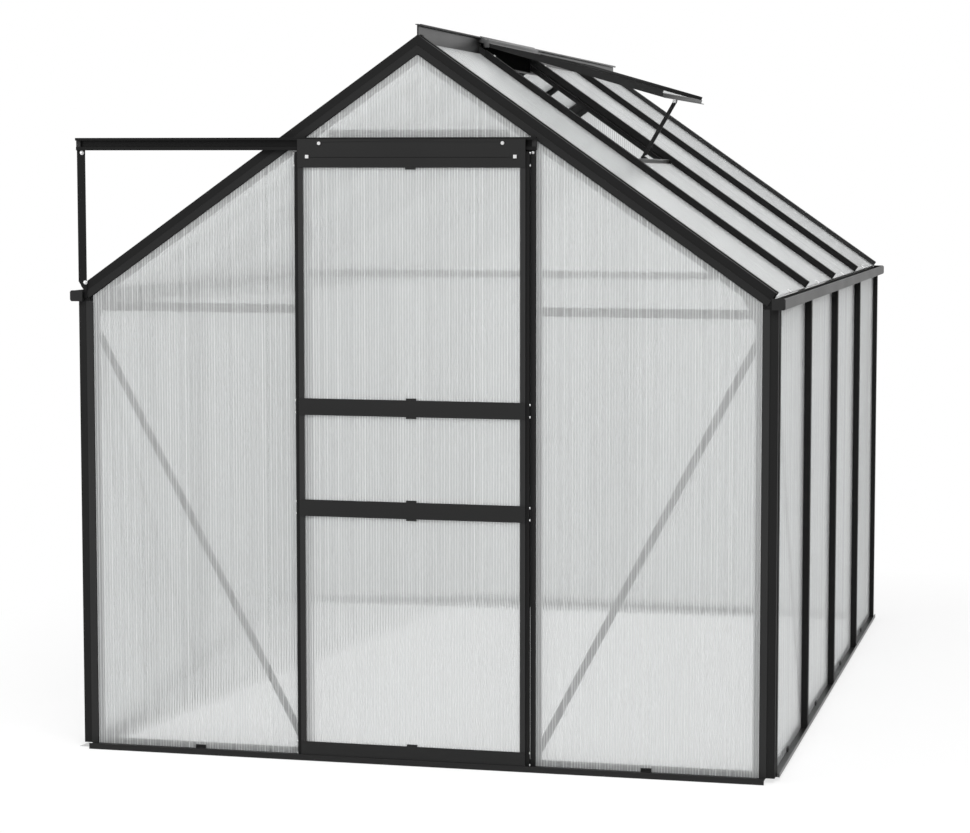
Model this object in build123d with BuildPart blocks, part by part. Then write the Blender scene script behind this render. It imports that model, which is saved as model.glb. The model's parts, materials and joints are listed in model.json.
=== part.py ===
"""Apex greenhouse: aluminium frame, translucent panels, sliding door and an opening roof vent.

Millimetres, +Z up, ground at z = 0. The front gable faces -Y and the door slides towards -X.
Depths are measured inwards from the outer face of a wall, gable or roof slope.
"""
import os
from math import atan2, cos, degrees, hypot, radians, sin, tan

from build123d import *

os.makedirs("parts", exist_ok=True)

# House sizes
frame_width = 1896.0  # over the outer faces of the corner posts
frame_length = 2550.0  # from the front face to the rear face
eaves_height = 1216.0  # top of the corner posts
roof_pitch = 35.0  # degrees
roof_edge_rise = 37.4  # roof plane above the eaves, at the posts' outer face
bay_count = 4

# Extruded sections
wall = 2.0  # metal thickness
rib_height = 14.0  # posts' outer face down to a wall or roof panel
gable_rib = 3.0  # gable's face down to its panels
cover_proud = 4.0  # bar covers stand this far outside the posts' faces
panel_thickness = 4.0
panel_room = 1.5  # free edge round a panel
channel_depth = 14.0  # bolt channel behind the panel seat
channel_width = 16.0
channel_slot = 7.0
seat_reach = 12.0  # panel seat each side of a glazing bar
cover_width = 24.0
post_size = 42.0
post_band = 23.5  # outer band of the corner section
post_step = 2.0  # the band is set back by this
post_seat = 18.0

# Base sills
sill_ledge = 12.0
sill_upstand = 22.0
sill_foot = 24.0
sill_inset = 26.0  # front and rear sills stop short of the posts' outer faces
corner_notch = 31.0  # side sills stop short of the gables' faces
side_lip = 6.5
side_lip_low = 9.0
side_lip_height = 20.0
door_lip = 25.0  # the front sill carries the door's lower track
door_lip_height = 16.0
mitre_gap = 0.3
anchor_hole = 8.0
anchor_inset = 148.0  # from the corner posts' outer faces
bracket_leg = 37.0

# Eaves gutters and ridge
gutter_inset = 17.0
gutter_projection = 16.0
gutter_height = 27.4
gutter_bead = 6.0
gutter_hook = 26.0  # flange that hangs behind the wall bars
gutter_overhang = 10.0
cap_thickness = 3.0
cap_margin = 1.0
cap_round = 6.0
ridge_thickness = 4.0
ridge_rise = 26.0  # top of the ridge above the apex of the roof plane
hinge_reach = 8.0  # ridge centre to the hinge bead
hinge_bead = 3.0  # radius
ridge_lip = 6.5  # the far side has a plain lip
ridge_inset = 8.0  # its ends lie behind the gables' faces
plug_gap = 1.2  # rafter end plugs to the gutter
ridge_foot = 24.0
cover_end_gap = 22.0

# Gable framing
door_post_x = 309.0
door_post_rib = 13.0
door_post_seat = 17.0
brace_width = 20.0
cross_bar_height = 24.0
cross_bar_leg = 16.0
cross_bar_drop = 2.0  # top of the cross bars below the eaves
brace_head_drop = 80.0
brace_foot_height = 55.0
seat_gap = 0.3  # parts that meet on a slope

# Door track and its strut
strut_thickness = 2.5
strut_width = 23.0
strut_return = 10.0
lintel_gap = 3.1
lintel_plate = 52.0
lintel_upstand = 20.0
track_height = 33.0
track_depth = 16.0
track_lip_height = 9.0
track_lip_set = 8.5  # back of the track to the back of the lip
track_drop_lip = 7.0
track_inset = 6.0
track_overrun = 5.0  # past the right door post
stop_length = 12.0

# Sliding door
door_width = 633.0
door_set = -13.0  # middle of the closed door, left of the house's middle
door_front = 22.0  # front of the rails, ahead of the gable's face
door_floor = 14.0
door_depth = 15.0
stile_face = 24.5
stile_edge = 10.0  # outer strip of the stiles
stile_step = 3.0  # the strip is set back by this
stile_seat = 22.0
header_height = 74.5
header_drop = 4.0
upper_rail_height = 946.0
lower_rail_height = 677.7
rail_height = 44.0
rail_seat = 30.0
bottom_rail_height = 37.7
shelf_height = 10.0
header_shelf = 14.5
door_pocket = 0.5
clip_width = 28.0
clip_height = 4.8
sill_clip_height = 10.0
roller_radius = 11.0
roller_groove = 8.5
roller_width = 7.0
groove_width = 3.0
roller_span = 493.0
axle_radius = 3.0
running_clearance = 0.06
bolt_head = 4.5
bolt_head_height = 3.0
square_bolt_inset = 37.0
guide_length = 40.0

# Roof vent and its stay
vent_bay = 1  # counted from the front bay, which is 0
vent_open = 19.0  # degrees above the closed position, as it stands
vent_length = 548.0  # hinge to the outer face of the bottom rail
vent_lip = 9.0  # drip lip along the bottom rail
vent_lap = 8.0  # past the centres of the bars on both sides
vent_clearance = 0.9  # above the bar covers when closed
vent_wall_height = 20.5
vent_seat = 14.0
vent_leg_set = 14.0  # hinge to the leg of the hinge rail
vent_seat_drop = 14.0  # hinge down to the vent panel's seat
knuckle_wall = 2.0
neck_thickness = 2.4
knuckle_margin = 6.0  # degrees
vent_sill_at = 525.0  # along the slope
vent_sill_width = 24.0
vent_upstand_set = 14.0
vent_upstand = 10.0
vent_sill_room = 0.5
stay_ratio = 2.2  # stay turns this much more than the vent
stay_pivot_set = 20.0  # bottom rail's outer face back to the pivot
stay_pivot_drop = 26.0
stay_width = 11.5
stay_thickness = 4.0
stay_eye = 5.5
stay_pin = 3.0
lug_thickness = 3.0
lug_room = 0.5
peg_set = 8.0  # ahead of the vent sill's inner edge
peg_drop = 1.0  # below the top of the sill's deck
peg_radius = 3.0
peg_clearance = 0.5

# Places worked out from the sizes
LEFT, RIGHT = -1, 1
FRONT, REAR = -1, 1
pitch = radians(roof_pitch)
half_width = frame_width / 2
anchor_span = frame_width - anchor_inset * 2
front_reach = max(door_lip, door_front + bolt_head_height)
rear_reach = gutter_overhang + cap_thickness
front_y = -frame_length / 2 + (front_reach - rear_reach) / 2
rear_y = front_y + frame_length
bay = frame_length / bay_count
bar_ys = [front_y + bay * (i + 1) for i in range(bay_count - 1)]
seat_depth = rib_height + panel_thickness
back_depth = seat_depth + wall
bar_depth = back_depth + channel_depth
gable_seat = gable_rib + panel_thickness
gable_back = gable_seat + wall
post_reach = post_size + post_seat
bar_half = channel_width / 2
seat_half = bar_half + seat_reach
panel_edge = bar_half + panel_room
apex_height = eaves_height + roof_edge_rise + half_width * tan(pitch)
ridge_half = ridge_thickness / 2
ridge_top = apex_height + ridge_rise
gutter_in = half_width - gutter_inset
gutter_out = half_width + gutter_projection
slope_length = half_width / cos(pitch)
roof_end = (gutter_in + seat_depth * sin(pitch)) / cos(pitch) - seat_gap
far = frame_length  # long enough to cut right through


def keep(part, name):
    """Label a finished piece and write it as one STEP file."""
    part.label = name
    export_step(part, f"parts/{name}.step")


def keep_door(part, name):
    """Keep a piece of the door, which is drawn about the house's middle, where the closed door hangs."""
    keep(Pos(door_set, 0, 0) * part, name)


def roof_z(x, depth=0.0):
    """Height of the roof slope this deep below its outer plane."""
    return apex_height - abs(x) * tan(pitch) - depth / cos(pitch)


def roof_x(z, depth=0.0):
    """Distance from the ridge where the roof slope, this deep, has the height z."""
    return (apex_height - depth / cos(pitch) - z) / tan(pitch)


def wall_x(side, depth):
    return side * (half_width - depth)


def gable_y(end, depth):
    return front_y + depth if end == FRONT else rear_y - depth


def gable_slab(end, depth, thickness):
    """Plane across the house from which a piece of this thickness is extruded towards -Y."""
    return Plane.XZ.offset(-max(gable_y(end, depth), gable_y(end, depth + thickness)))


def wall_slab(side, depth, thickness):
    """Plane along a side wall from which a piece of this thickness is extruded towards +X."""
    return Plane.YZ.offset(min(wall_x(side, depth), wall_x(side, depth + thickness)))


def roof_slab(side, depth, thickness):
    """Plane of a roof slope: local x runs down the slope, and extruding goes outwards."""
    slope = Plane(
        origin=(0, 0, apex_height),
        x_dir=(side * cos(pitch), 0, -sin(pitch)),
        z_dir=(side * sin(pitch), 0, cos(pitch)),
    )
    return slope.offset(-depth - thickness)


def slope_section(side):
    """Plane square to a roof slope, above the ridge: local x is +Y, extruding runs down the slope."""
    square = Plane(origin=(0, 0, apex_height), x_dir=(0, 1, 0), z_dir=(side * cos(pitch), 0, -sin(pitch)))
    return square.offset(-post_reach * 2)


def rectangle(x0, x1, y0, y1):
    return [(x0, y0), (x1, y0), (x1, y1), (x0, y1)]


def sill_section(lip, lip_low, lip_height):
    """Depth and height points of a base sill: outer lip, ledge, upstand and foot."""
    inner = bar_depth + wall
    return [
        (-lip, lip_low),
        (wall - lip, lip_low),
        (wall - lip, sill_ledge - wall),
        (bar_depth, sill_ledge - wall),
        (bar_depth, 0),
        (inner + sill_foot, 0),
        (inner + sill_foot, wall),
        (inner, wall),
        (inner, sill_upstand),
        (bar_depth, sill_upstand),
        (bar_depth, sill_ledge),
        (wall - lip, sill_ledge),
        (wall - lip, lip_height),
        (-lip, lip_height),
    ]


def bar_section(seat):
    """Across and depth points of a glazing bar: rib, two panel seats and the bolt channel."""
    half_slot = channel_slot / 2
    rib_top = wall - cover_proud
    right = [
        (bar_half, rib_top),
        (bar_half, seat),
        (seat_half, seat),
        (seat_half, seat + wall),
        (bar_half, seat + wall),
        (bar_half, bar_depth),
        (half_slot, bar_depth),
        (half_slot, bar_depth - wall),
        (bar_half - wall, bar_depth - wall),
        (bar_half - wall, rib_top + wall),
    ]
    return right + [(-u, d) for u, d in reversed(right)]


def cover_section(rib):
    """Across and depth points of the snap-on cover that holds the panels down."""
    half = cover_width / 2
    right = [(half, -cover_proud), (half, rib), (half - wall, rib), (half - wall, wall - cover_proud)]
    return right + [(-u, d) for u, d in reversed(right)]


def door_post_section():
    """Across (outwards from the doorway) and depth points of a door post."""
    rib = door_post_rib / 2
    half_slot = channel_slot / 2
    return [
        (-rib, 0),
        (rib, 0),
        (rib, gable_seat),
        (rib + door_post_seat, gable_seat),
        (rib + door_post_seat, gable_back),
        (rib, gable_back),
        (rib, bar_depth),
        (half_slot, bar_depth),
        (half_slot, bar_depth - wall),
        (rib - wall, bar_depth - wall),
        (rib - wall, wall),
        (wall - rib, wall),
        (wall - rib, bar_depth - wall),
        (-half_slot, bar_depth - wall),
        (-half_slot, bar_depth),
        (-rib, bar_depth),
    ]


def corner_profile(place):
    """Sketch the corner posts' and gable rafters' section. place() takes depths behind both faces."""
    body = [
        (post_step, post_step),
        (post_band, post_step),
        (post_band, 0),
        (post_size, 0),
        (post_size, gable_back),
        (back_depth, post_size),
        (0, post_size),
        (0, post_band),
        (post_step, post_band),
    ]
    gable_flange = rectangle(post_size, post_reach, gable_seat, gable_back)
    wall_flange = rectangle(seat_depth, back_depth, post_size, post_reach)
    Polygon(*[place(p, q) for p, q in body], align=None)
    offset(amount=-wall, kind=Kind.INTERSECTION, mode=Mode.SUBTRACT)
    for flange in (gable_flange, wall_flange):
        Polygon(*[place(p, q) for p, q in flange], align=None)


# Base sills, mitred at the corners
def gable_sill(end, lip, lip_low, lip_height):
    x_end = half_width - sill_inset
    reach = bar_depth + wall + sill_foot
    with BuildPart() as sill:
        with BuildSketch(Plane.YZ.offset(-half_width)):
            Polygon(*[(gable_y(end, d), z) for d, z in sill_section(lip, lip_low, lip_height)], align=None)
        extrude(amount=frame_width)
        with BuildSketch():
            right = [(x_end, -lip), (x_end, sill_inset), (half_width - reach, reach)]
            ends = right + [(-x, d) for x, d in reversed(right)]
            Polygon(*[(x, gable_y(end, d)) for x, d in ends], align=None)
        extrude(amount=sill_upstand, mode=Mode.INTERSECT)
        with BuildSketch():
            with Locations((0, gable_y(end, bar_depth + wall + sill_foot / 2))):
                with GridLocations(anchor_span, 0, 2, 1):
                    Circle(anchor_hole / 2)
        extrude(amount=wall, mode=Mode.SUBTRACT)
    return sill.part


def wall_sill(side):
    reach = bar_depth + wall + sill_foot
    section = sill_section(side_lip, side_lip_low, side_lip_height)
    with BuildPart() as sill:
        with BuildSketch(Plane.XZ.offset(-rear_y)):
            Polygon(*[(wall_x(side, d), z) for d, z in section], align=None)
        extrude(amount=frame_length)
        with BuildSketch():
            mitre = corner_notch - mitre_gap
            front = [(-side_lip, corner_notch), (mitre, corner_notch), (reach, reach + mitre_gap)]
            ends = [(wall_x(side, p), gable_y(FRONT, q)) for p, q in front]
            ends += [(wall_x(side, p), gable_y(REAR, q)) for p, q in reversed(front)]
            Polygon(*ends, align=None)
        extrude(amount=sill_upstand, mode=Mode.INTERSECT)
    return sill.part


keep(gable_sill(FRONT, door_lip, 0, door_lip_height), "front_sill")
keep(gable_sill(REAR, side_lip, side_lip_low, side_lip_height), "rear_sill")
keep(wall_sill(LEFT), "left_sill")
keep(wall_sill(RIGHT), "right_sill")

# Angle brackets that tie the sills together at the corners
inner_face = bar_depth + wall
bracket_end = inner_face + bracket_leg
bracket_points = [
    (inner_face, inner_face),
    (bracket_end, inner_face),
    (bracket_end, inner_face + wall),
    (inner_face + wall, inner_face + wall),
    (inner_face + wall, bracket_end),
    (inner_face, bracket_end),
]
with BuildPart() as sill_brackets:
    with BuildSketch(Plane.XY.offset(wall)):
        for side in (LEFT, RIGHT):
            for end in (FRONT, REAR):
                Polygon(*[(wall_x(side, p), gable_y(end, q)) for p, q in bracket_points], align=None)
    extrude(amount=sill_upstand - wall * 2)
keep(sill_brackets.part, "sill_corner_brackets")


# Corner posts and gable rafters share one hollow section
def corner_post(side, end):
    with BuildPart() as post:
        with BuildSketch(Plane.XY.offset(sill_ledge)):
            corner_profile(lambda p, q: (wall_x(side, p), gable_y(end, q)))
        extrude(amount=eaves_height - sill_ledge)
    return post.part


def gable_rafter(side, end):
    with BuildPart() as rafter:
        with BuildSketch(slope_section(side)):
            corner_profile(lambda p, q: (gable_y(end, q), -side * p))
        extrude(amount=post_reach * 2 + roof_end)
        with BuildSketch(gable_slab(end, 0, post_reach)):
            Polygon(*rectangle(0, side * half_width, eaves_height, ridge_top), align=None)
        extrude(amount=post_reach, mode=Mode.INTERSECT)
    return rafter.part


for end, end_name in ((FRONT, "front"), (REAR, "rear")):
    for side, side_name in ((LEFT, "left"), (RIGHT, "right")):
        keep(corner_post(side, end), f"{end_name}_{side_name}_post")
        keep(gable_rafter(side, end), f"{end_name}_{side_name}_rafter")

# Plugs that close the rafters' lower ends, standing on the corner posts
plug_end = roof_end + seat_gap
plug_out = gutter_in - plug_gap
plug_foot = plug_end * cos(pitch) - (apex_height - plug_end * sin(pitch) - eaves_height) * tan(pitch)
plug_top = eaves_height + (plug_out - plug_foot) / tan(pitch)
with BuildPart() as plugs:
    for end in (FRONT, REAR):
        with BuildSketch(gable_slab(end, post_step, post_size - post_step)):
            for side in (LEFT, RIGHT):
                corners = [(plug_foot, eaves_height), (plug_out, eaves_height), (plug_out, plug_top)]
                Polygon(*[(side * x, z) for x, z in corners], align=None)
        extrude(amount=post_size - post_step)
keep(plugs.part, "rafter_end_plugs")


# Gutters: an open trough with a hook behind the wall bars
def gutter(side):
    inner_top = roof_z(gutter_in + wall, seat_depth) - seat_gap
    floor = eaves_height + wall
    rim = eaves_height + gutter_height
    trough = [
        (gutter_in, eaves_height),
        (gutter_out, eaves_height),
        (gutter_out, rim),
        (gutter_out - gutter_bead, rim),
        (gutter_out - gutter_bead, rim - wall),
        (gutter_out - wall, rim - wall),
        (gutter_out - wall, floor),
        (gutter_in + wall, floor),
        (gutter_in + wall, inner_top),
        (gutter_in, inner_top),
    ]
    bar_back = half_width - bar_depth
    hook = [
        (bar_back - wall, eaves_height - gutter_hook),
        (bar_back, eaves_height - gutter_hook),
        (bar_back, eaves_height),
        (gutter_in + wall, eaves_height),
        (gutter_in + wall, floor),
        (bar_back - wall, floor),
    ]
    with BuildPart() as piece:
        with BuildSketch(Plane.XZ.offset(-rear_y - gutter_overhang)):
            Polygon(*[(side * x, z) for x, z in trough], align=None)
        extrude(amount=frame_length + gutter_overhang * 2)
        with BuildSketch(gable_slab(REAR, post_reach + wall, 0)):
            Polygon(*[(side * x, z) for x, z in hook], align=None)
        extrude(amount=frame_length - (post_reach + wall) * 2)
    return piece.part


keep(gutter(LEFT), "left_gutter")
keep(gutter(RIGHT), "right_gutter")

cap_low = eaves_height - cap_margin
cap_high = eaves_height + gutter_height + cap_margin
with BuildPart() as end_caps:
    for end in (FRONT, REAR):
        with BuildSketch(gable_slab(end, -gutter_overhang - cap_thickness, cap_thickness)):
            for side in (LEFT, RIGHT):
                cap_in = side * (gutter_in - cap_margin)
                cap_out = side * (gutter_out + cap_margin)
                outline = rectangle(cap_in, cap_out, cap_low, cap_high)
                Polygon(*outline, align=None)
            across = vertices().group_by(Axis.X)
            fillet(across[0] + across[-1], radius=cap_round)
        extrude(amount=cap_thickness)
keep(end_caps.part, "gutter_end_caps")

# Ridge: a web over the rafters with a hinge bead at the top, and a foot below the roof bars
hinge_z = ridge_top - hinge_bead
ridge_low = roof_z(ridge_foot / 2, bar_depth) - seat_gap
with BuildPart() as ridge:
    with BuildSketch(gable_slab(REAR, ridge_inset, 0)):
        Polygon(*rectangle(-ridge_half, ridge_half, apex_height, ridge_top), align=None)
        half_neck = neck_thickness / 2
        Polygon(*rectangle(0, hinge_reach, hinge_z - half_neck, hinge_z + half_neck), align=None)
        Polygon(*rectangle(-ridge_lip, 0, ridge_top - wall, ridge_top), align=None)
        with Locations((hinge_reach, hinge_z)):
            Circle(hinge_bead)
    extrude(amount=frame_length - ridge_inset * 2)
    band = post_band - ridge_inset
    for end in (FRONT, REAR):
        with BuildSketch(gable_slab(end, ridge_inset, band)):
            Polygon(*rectangle(-ridge_half, ridge_half, roof_z(0, post_step), apex_height), align=None)
        extrude(amount=band)
    with BuildSketch(gable_slab(REAR, post_reach + wall, 0)):
        Polygon(*rectangle(-ridge_half, ridge_half, ridge_low, apex_height), align=None)
        Polygon(*rectangle(-ridge_foot / 2, ridge_foot / 2, ridge_low - wall, ridge_low), align=None)
    extrude(amount=frame_length - (post_reach + wall) * 2)
keep(ridge.part, "ridge_bar")


# Glazing bars and their covers
def wall_strips(side, section):
    """Strips of this section at the bars of one side wall."""
    with BuildPart() as strips:
        with BuildSketch(Plane.XY.offset(sill_ledge)):
            for y in bar_ys:
                Polygon(*[(wall_x(side, d), y + u) for u, d in section], align=None)
        extrude(amount=eaves_height - sill_ledge)
    return strips.part


def roof_strips(side, section, x0):
    """Strips of this section down one slope, cut off upright at x0 and square at the gutter."""
    with BuildPart() as strips:
        with BuildSketch(slope_section(side)):
            for y in bar_ys:
                Polygon(*[(y + u, -side * d) for u, d in section], align=None)
        extrude(amount=post_reach * 2 + roof_end)
        with BuildSketch(gable_slab(REAR, 0, frame_length)):
            Polygon(*rectangle(side * x0, side * far, 0, far), align=None)
        extrude(amount=frame_length, mode=Mode.INTERSECT)
    return strips.part


for side, side_name in ((LEFT, "left"), (RIGHT, "right")):
    keep(wall_strips(side, bar_section(seat_depth)), f"{side_name}_wall_bars")
    keep(roof_strips(side, bar_section(seat_depth), ridge_half), f"{side_name}_roof_bars")

with BuildPart() as roof_covers:
    for side in (LEFT, RIGHT):
        add(roof_strips(side, cover_section(rib_height), cover_end_gap))
keep(roof_covers.part, "roof_bar_covers")


# Upright posts in the gables, cut off below the rafters
def under_rafters(depth):
    """Outline of the gable below both rafters, this deep under the roof plane."""
    low = sill_ledge
    edge = half_width
    side_top = roof_z(edge, depth)
    return [(-edge, low), (edge, low), (edge, side_top), (0, roof_z(0, depth)), (-edge, side_top)]


def gable_posts(end, section, depth):
    with BuildPart() as posts:
        with BuildSketch(Plane.XY.offset(sill_ledge)):
            for side in (LEFT, RIGHT):
                outline = [(side * (door_post_x + u), gable_y(end, d)) for u, d in section]
                Polygon(*outline, align=None)
        extrude(amount=apex_height)
        with BuildSketch(gable_slab(end, -cover_proud, cover_proud + bar_depth)):
            Polygon(*under_rafters(depth), align=None)
        extrude(amount=cover_proud + bar_depth, mode=Mode.INTERSECT)
    return posts.part


keep(gable_posts(FRONT, door_post_section(), post_reach + seat_gap), "door_posts")
keep(gable_posts(REAR, bar_section(gable_seat), post_reach + seat_gap), "rear_gable_posts")

with BuildPart() as wall_covers:
    for side in (LEFT, RIGHT):
        add(wall_strips(side, cover_section(rib_height)))
    add(gable_posts(REAR, cover_section(gable_rib), post_size + seat_gap))
keep(wall_covers.part, "wall_bar_covers")

# Lintel over the doorway: its plate carries the track and its ledge the top panel
doorway_half = door_post_x - door_post_rib / 2
lintel_top = roof_z(doorway_half, post_size) - lintel_gap
lintel_half = doorway_half - panel_room
upstand_half = roof_x(lintel_top + lintel_upstand, post_reach) - panel_room
with BuildPart() as lintel:
    with BuildSketch(gable_slab(FRONT, -strut_thickness, strut_thickness)):
        plate_half = door_post_x + door_post_rib / 2
        Polygon(*rectangle(-plate_half, plate_half, lintel_top - lintel_plate, lintel_top), align=None)
    extrude(amount=strut_thickness)
    with BuildSketch(gable_slab(FRONT, -strut_thickness, strut_thickness + gable_seat)):
        Polygon(*rectangle(-lintel_half, lintel_half, lintel_top - wall, lintel_top), align=None)
    extrude(amount=strut_thickness + gable_seat)
    with BuildSketch(gable_slab(FRONT, gable_seat, wall)):
        upstand = rectangle(-upstand_half, upstand_half, lintel_top - wall, lintel_top + lintel_upstand)
        Polygon(*upstand, align=None)
    extrude(amount=wall)
keep(lintel.part, "door_lintel")

# Angle bars across the gables at the eaves
cross_top = eaves_height - cross_bar_drop
cross_low = cross_top - cross_bar_height
post_end = half_width - post_size - wall * 2
rear_gap = door_post_x - bar_half - wall
spans = [
    (FRONT, -post_end, -door_post_x - door_post_rib / 2 - wall * 3),
    (FRONT, door_post_x + door_post_rib / 2 + wall * 3, post_end),
    (REAR, -post_end, -door_post_x - bar_half - wall),
    (REAR, -rear_gap, rear_gap),
    (REAR, door_post_x + bar_half + wall, post_end),
]
with BuildPart() as cross_bars:
    for end, x0, x1 in spans:
        corner = [
            (gable_back, cross_low),
            (gable_back + wall + cross_bar_leg, cross_low),
            (gable_back + wall + cross_bar_leg, cross_low + wall),
            (gable_back + wall, cross_low + wall),
            (gable_back + wall, cross_top),
            (gable_back, cross_top),
        ]
        with BuildSketch(Plane.YZ.offset(x0)):
            Polygon(*[(gable_y(end, d), z) for d, z in corner], align=None)
        extrude(amount=x1 - x0)
keep(cross_bars.part, "gable_cross_bars")


# Flat diagonal braces behind the panel seats
def brace_outline(a, b):
    """Rectangle of the brace's width between two points, as corner points."""
    run = hypot(b[0] - a[0], b[1] - a[1])
    nx = -(b[1] - a[1]) / run * brace_width / 2
    ny = (b[0] - a[0]) / run * brace_width / 2
    return [(a[0] + nx, a[1] + ny), (b[0] + nx, b[1] + ny), (b[0] - nx, b[1] - ny), (a[0] - nx, a[1] - ny)]


brace_set = brace_width / 2 + wall / 2
head_z = eaves_height - brace_head_drop
foot_z = brace_foot_height
with BuildPart() as braces:
    with BuildSketch(gable_slab(FRONT, gable_back, wall)):
        for side in (LEFT, RIGHT):
            head = (side * (half_width - post_size - brace_set), head_z)
            foot = (side * (door_post_x + door_post_rib / 2 + brace_set), foot_z)
            Polygon(*brace_outline(head, foot), align=None)
    extrude(amount=wall)
    for side in (LEFT, RIGHT):
        with BuildSketch(wall_slab(side, back_depth, wall)):
            for end, bar_y in ((FRONT, bar_ys[0]), (REAR, bar_ys[-1])):
                head = (gable_y(end, post_size + brace_set), head_z)
                foot = (bar_y + end * (bar_half + brace_set), foot_z)
                Polygon(*brace_outline(head, foot), align=None)
        extrude(amount=wall)
keep(braces.part, "diagonal_braces")


# Panels
top_depth = post_size + panel_room
outer_x = half_width - post_size - panel_room
front_x = door_post_x + door_post_rib / 2 + panel_room


def gable_sheet(side, near_x):
    """Outline of a gable's side panel, from a post out to the corner and up to the rafter."""
    return [
        (side * near_x, sill_ledge),
        (side * outer_x, sill_ledge),
        (side * outer_x, roof_z(outer_x, top_depth)),
        (side * near_x, roof_z(near_x, top_depth)),
    ]


with BuildPart() as front_panels:
    with BuildSketch(gable_slab(FRONT, gable_rib, panel_thickness)):
        for side in (LEFT, RIGHT):
            Polygon(*gable_sheet(side, front_x), align=None)
    extrude(amount=panel_thickness)
keep(front_panels.part, "front_side_panels")

corner_x = min(roof_x(lintel_top, top_depth), lintel_half)
with BuildPart() as top_panel:
    with BuildSketch(gable_slab(FRONT, gable_rib, panel_thickness)):
        Polygon((-corner_x, lintel_top), (corner_x, lintel_top), (0, roof_z(0, top_depth)), align=None)
    extrude(amount=panel_thickness)
keep(top_panel.part, "front_top_panel")

mid_x = door_post_x - panel_edge
with BuildPart() as rear_panels:
    with BuildSketch(gable_slab(REAR, gable_rib, panel_thickness)):
        middle = [(-mid_x, sill_ledge), (mid_x, sill_ledge), (mid_x, roof_z(mid_x, top_depth))]
        middle += [(0, roof_z(0, top_depth)), (-mid_x, roof_z(mid_x, top_depth))]
        Polygon(*middle, align=None)
        for side in (LEFT, RIGHT):
            Polygon(*gable_sheet(side, door_post_x + panel_edge), align=None)
    extrude(amount=panel_thickness)
keep(rear_panels.part, "rear_panels")

gable_edge = post_size + panel_room
bay_edges = [gable_y(FRONT, gable_edge)]
for y in bar_ys:
    bay_edges += [y - panel_edge, y + panel_edge]
bay_edges.append(gable_y(REAR, gable_edge))
bays = list(zip(bay_edges[0::2], bay_edges[1::2]))
roof_start = (ridge_half + panel_room + seat_depth * sin(pitch)) / cos(pitch)
vent_sill_end = vent_sill_at + vent_sill_width

for side, side_name in ((LEFT, "left"), (RIGHT, "right")):
    with BuildPart() as wall_panels:
        with BuildSketch(wall_slab(side, rib_height, panel_thickness)):
            for y0, y1 in bays:
                Polygon(*rectangle(y0, y1, sill_ledge, eaves_height - panel_room), align=None)
        extrude(amount=panel_thickness)
    keep(wall_panels.part, f"{side_name}_wall_panels")

    with BuildPart() as roof_panels:
        with BuildSketch(roof_slab(side, rib_height, panel_thickness)):
            for i, (y0, y1) in enumerate(bays):
                under_vent = side == RIGHT and i == vent_bay
                start = vent_sill_end + panel_room if under_vent else roof_start
                Polygon(*rectangle(start, roof_end, side * y0, side * y1), align=None)
        extrude(amount=panel_thickness)
    keep(roof_panels.part, f"{side_name}_roof_panels")

# Clips on the sills that hold the panels' lower edges
clip_front_x = (front_x + outer_x) / 2
with BuildPart() as sill_clips:
    clip_section = [(0, 0), (panel_thickness, 0), (panel_thickness, sill_clip_height), (wall, sill_clip_height)]
    clip_section += [(wall, wall), (0, wall)]
    for end, xs in ((FRONT, (-clip_front_x, clip_front_x)), (REAR, (-clip_front_x, 0, clip_front_x))):
        for x in xs:
            with BuildSketch(Plane.YZ.offset(x - clip_width / 2)):
                lip = gable_rib - panel_thickness
                points = [(gable_y(end, lip + d), sill_ledge + z) for d, z in clip_section]
                Polygon(*points, align=None)
            extrude(amount=clip_width)
    for side in (LEFT, RIGHT):
        for y0, y1 in bays:
            with BuildSketch(Plane.XZ.offset(-(y0 + y1) / 2 - clip_width / 2)):
                lip = rib_height - panel_thickness
                points = [(wall_x(side, lip + d), sill_ledge + z) for d, z in clip_section]
                Polygon(*points, align=None)
            extrude(amount=clip_width)
keep(sill_clips.part, "sill_glazing_clips")

# Door track: a C-shaped rail whose bottom lip carries the rollers
track_top = lintel_top
track_low = track_top - track_height
track_back = -strut_thickness
track_front = track_back - track_depth
lip_back = track_back - track_lip_set
lip_front = lip_back - wall
lip_top = track_low + track_lip_height
track_left = -(half_width - track_inset)
track_right = door_post_x + door_post_rib / 2 + track_overrun
track_section = [
    (track_back, track_low),
    (track_back, track_top),
    (track_front, track_top),
    (track_front, track_top - track_drop_lip),
    (track_front + wall, track_top - track_drop_lip),
    (track_front + wall, track_top - wall),
    (track_back - wall, track_top - wall),
    (track_back - wall, track_low + wall),
    (lip_back, track_low + wall),
    (lip_back, lip_top),
    (lip_front, lip_top),
    (lip_front, track_low),
]
with BuildPart() as track:
    with BuildSketch(Plane.YZ.offset(track_left)):
        Polygon(*[(front_y + d, z) for d, z in track_section], align=None)
    extrude(amount=track_right - track_left)
keep(track.part, "door_track")

with BuildPart() as track_stops:
    for x in (track_left, track_right - stop_length):
        with BuildSketch(Plane.YZ.offset(x)):
            block = rectangle(lip_back, track_back - wall, track_low + wall, track_top - wall)
            Polygon(*[(front_y + d, z) for d, z in block], align=None)
        extrude(amount=stop_length)
keep(track_stops.part, "door_track_stops")

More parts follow.
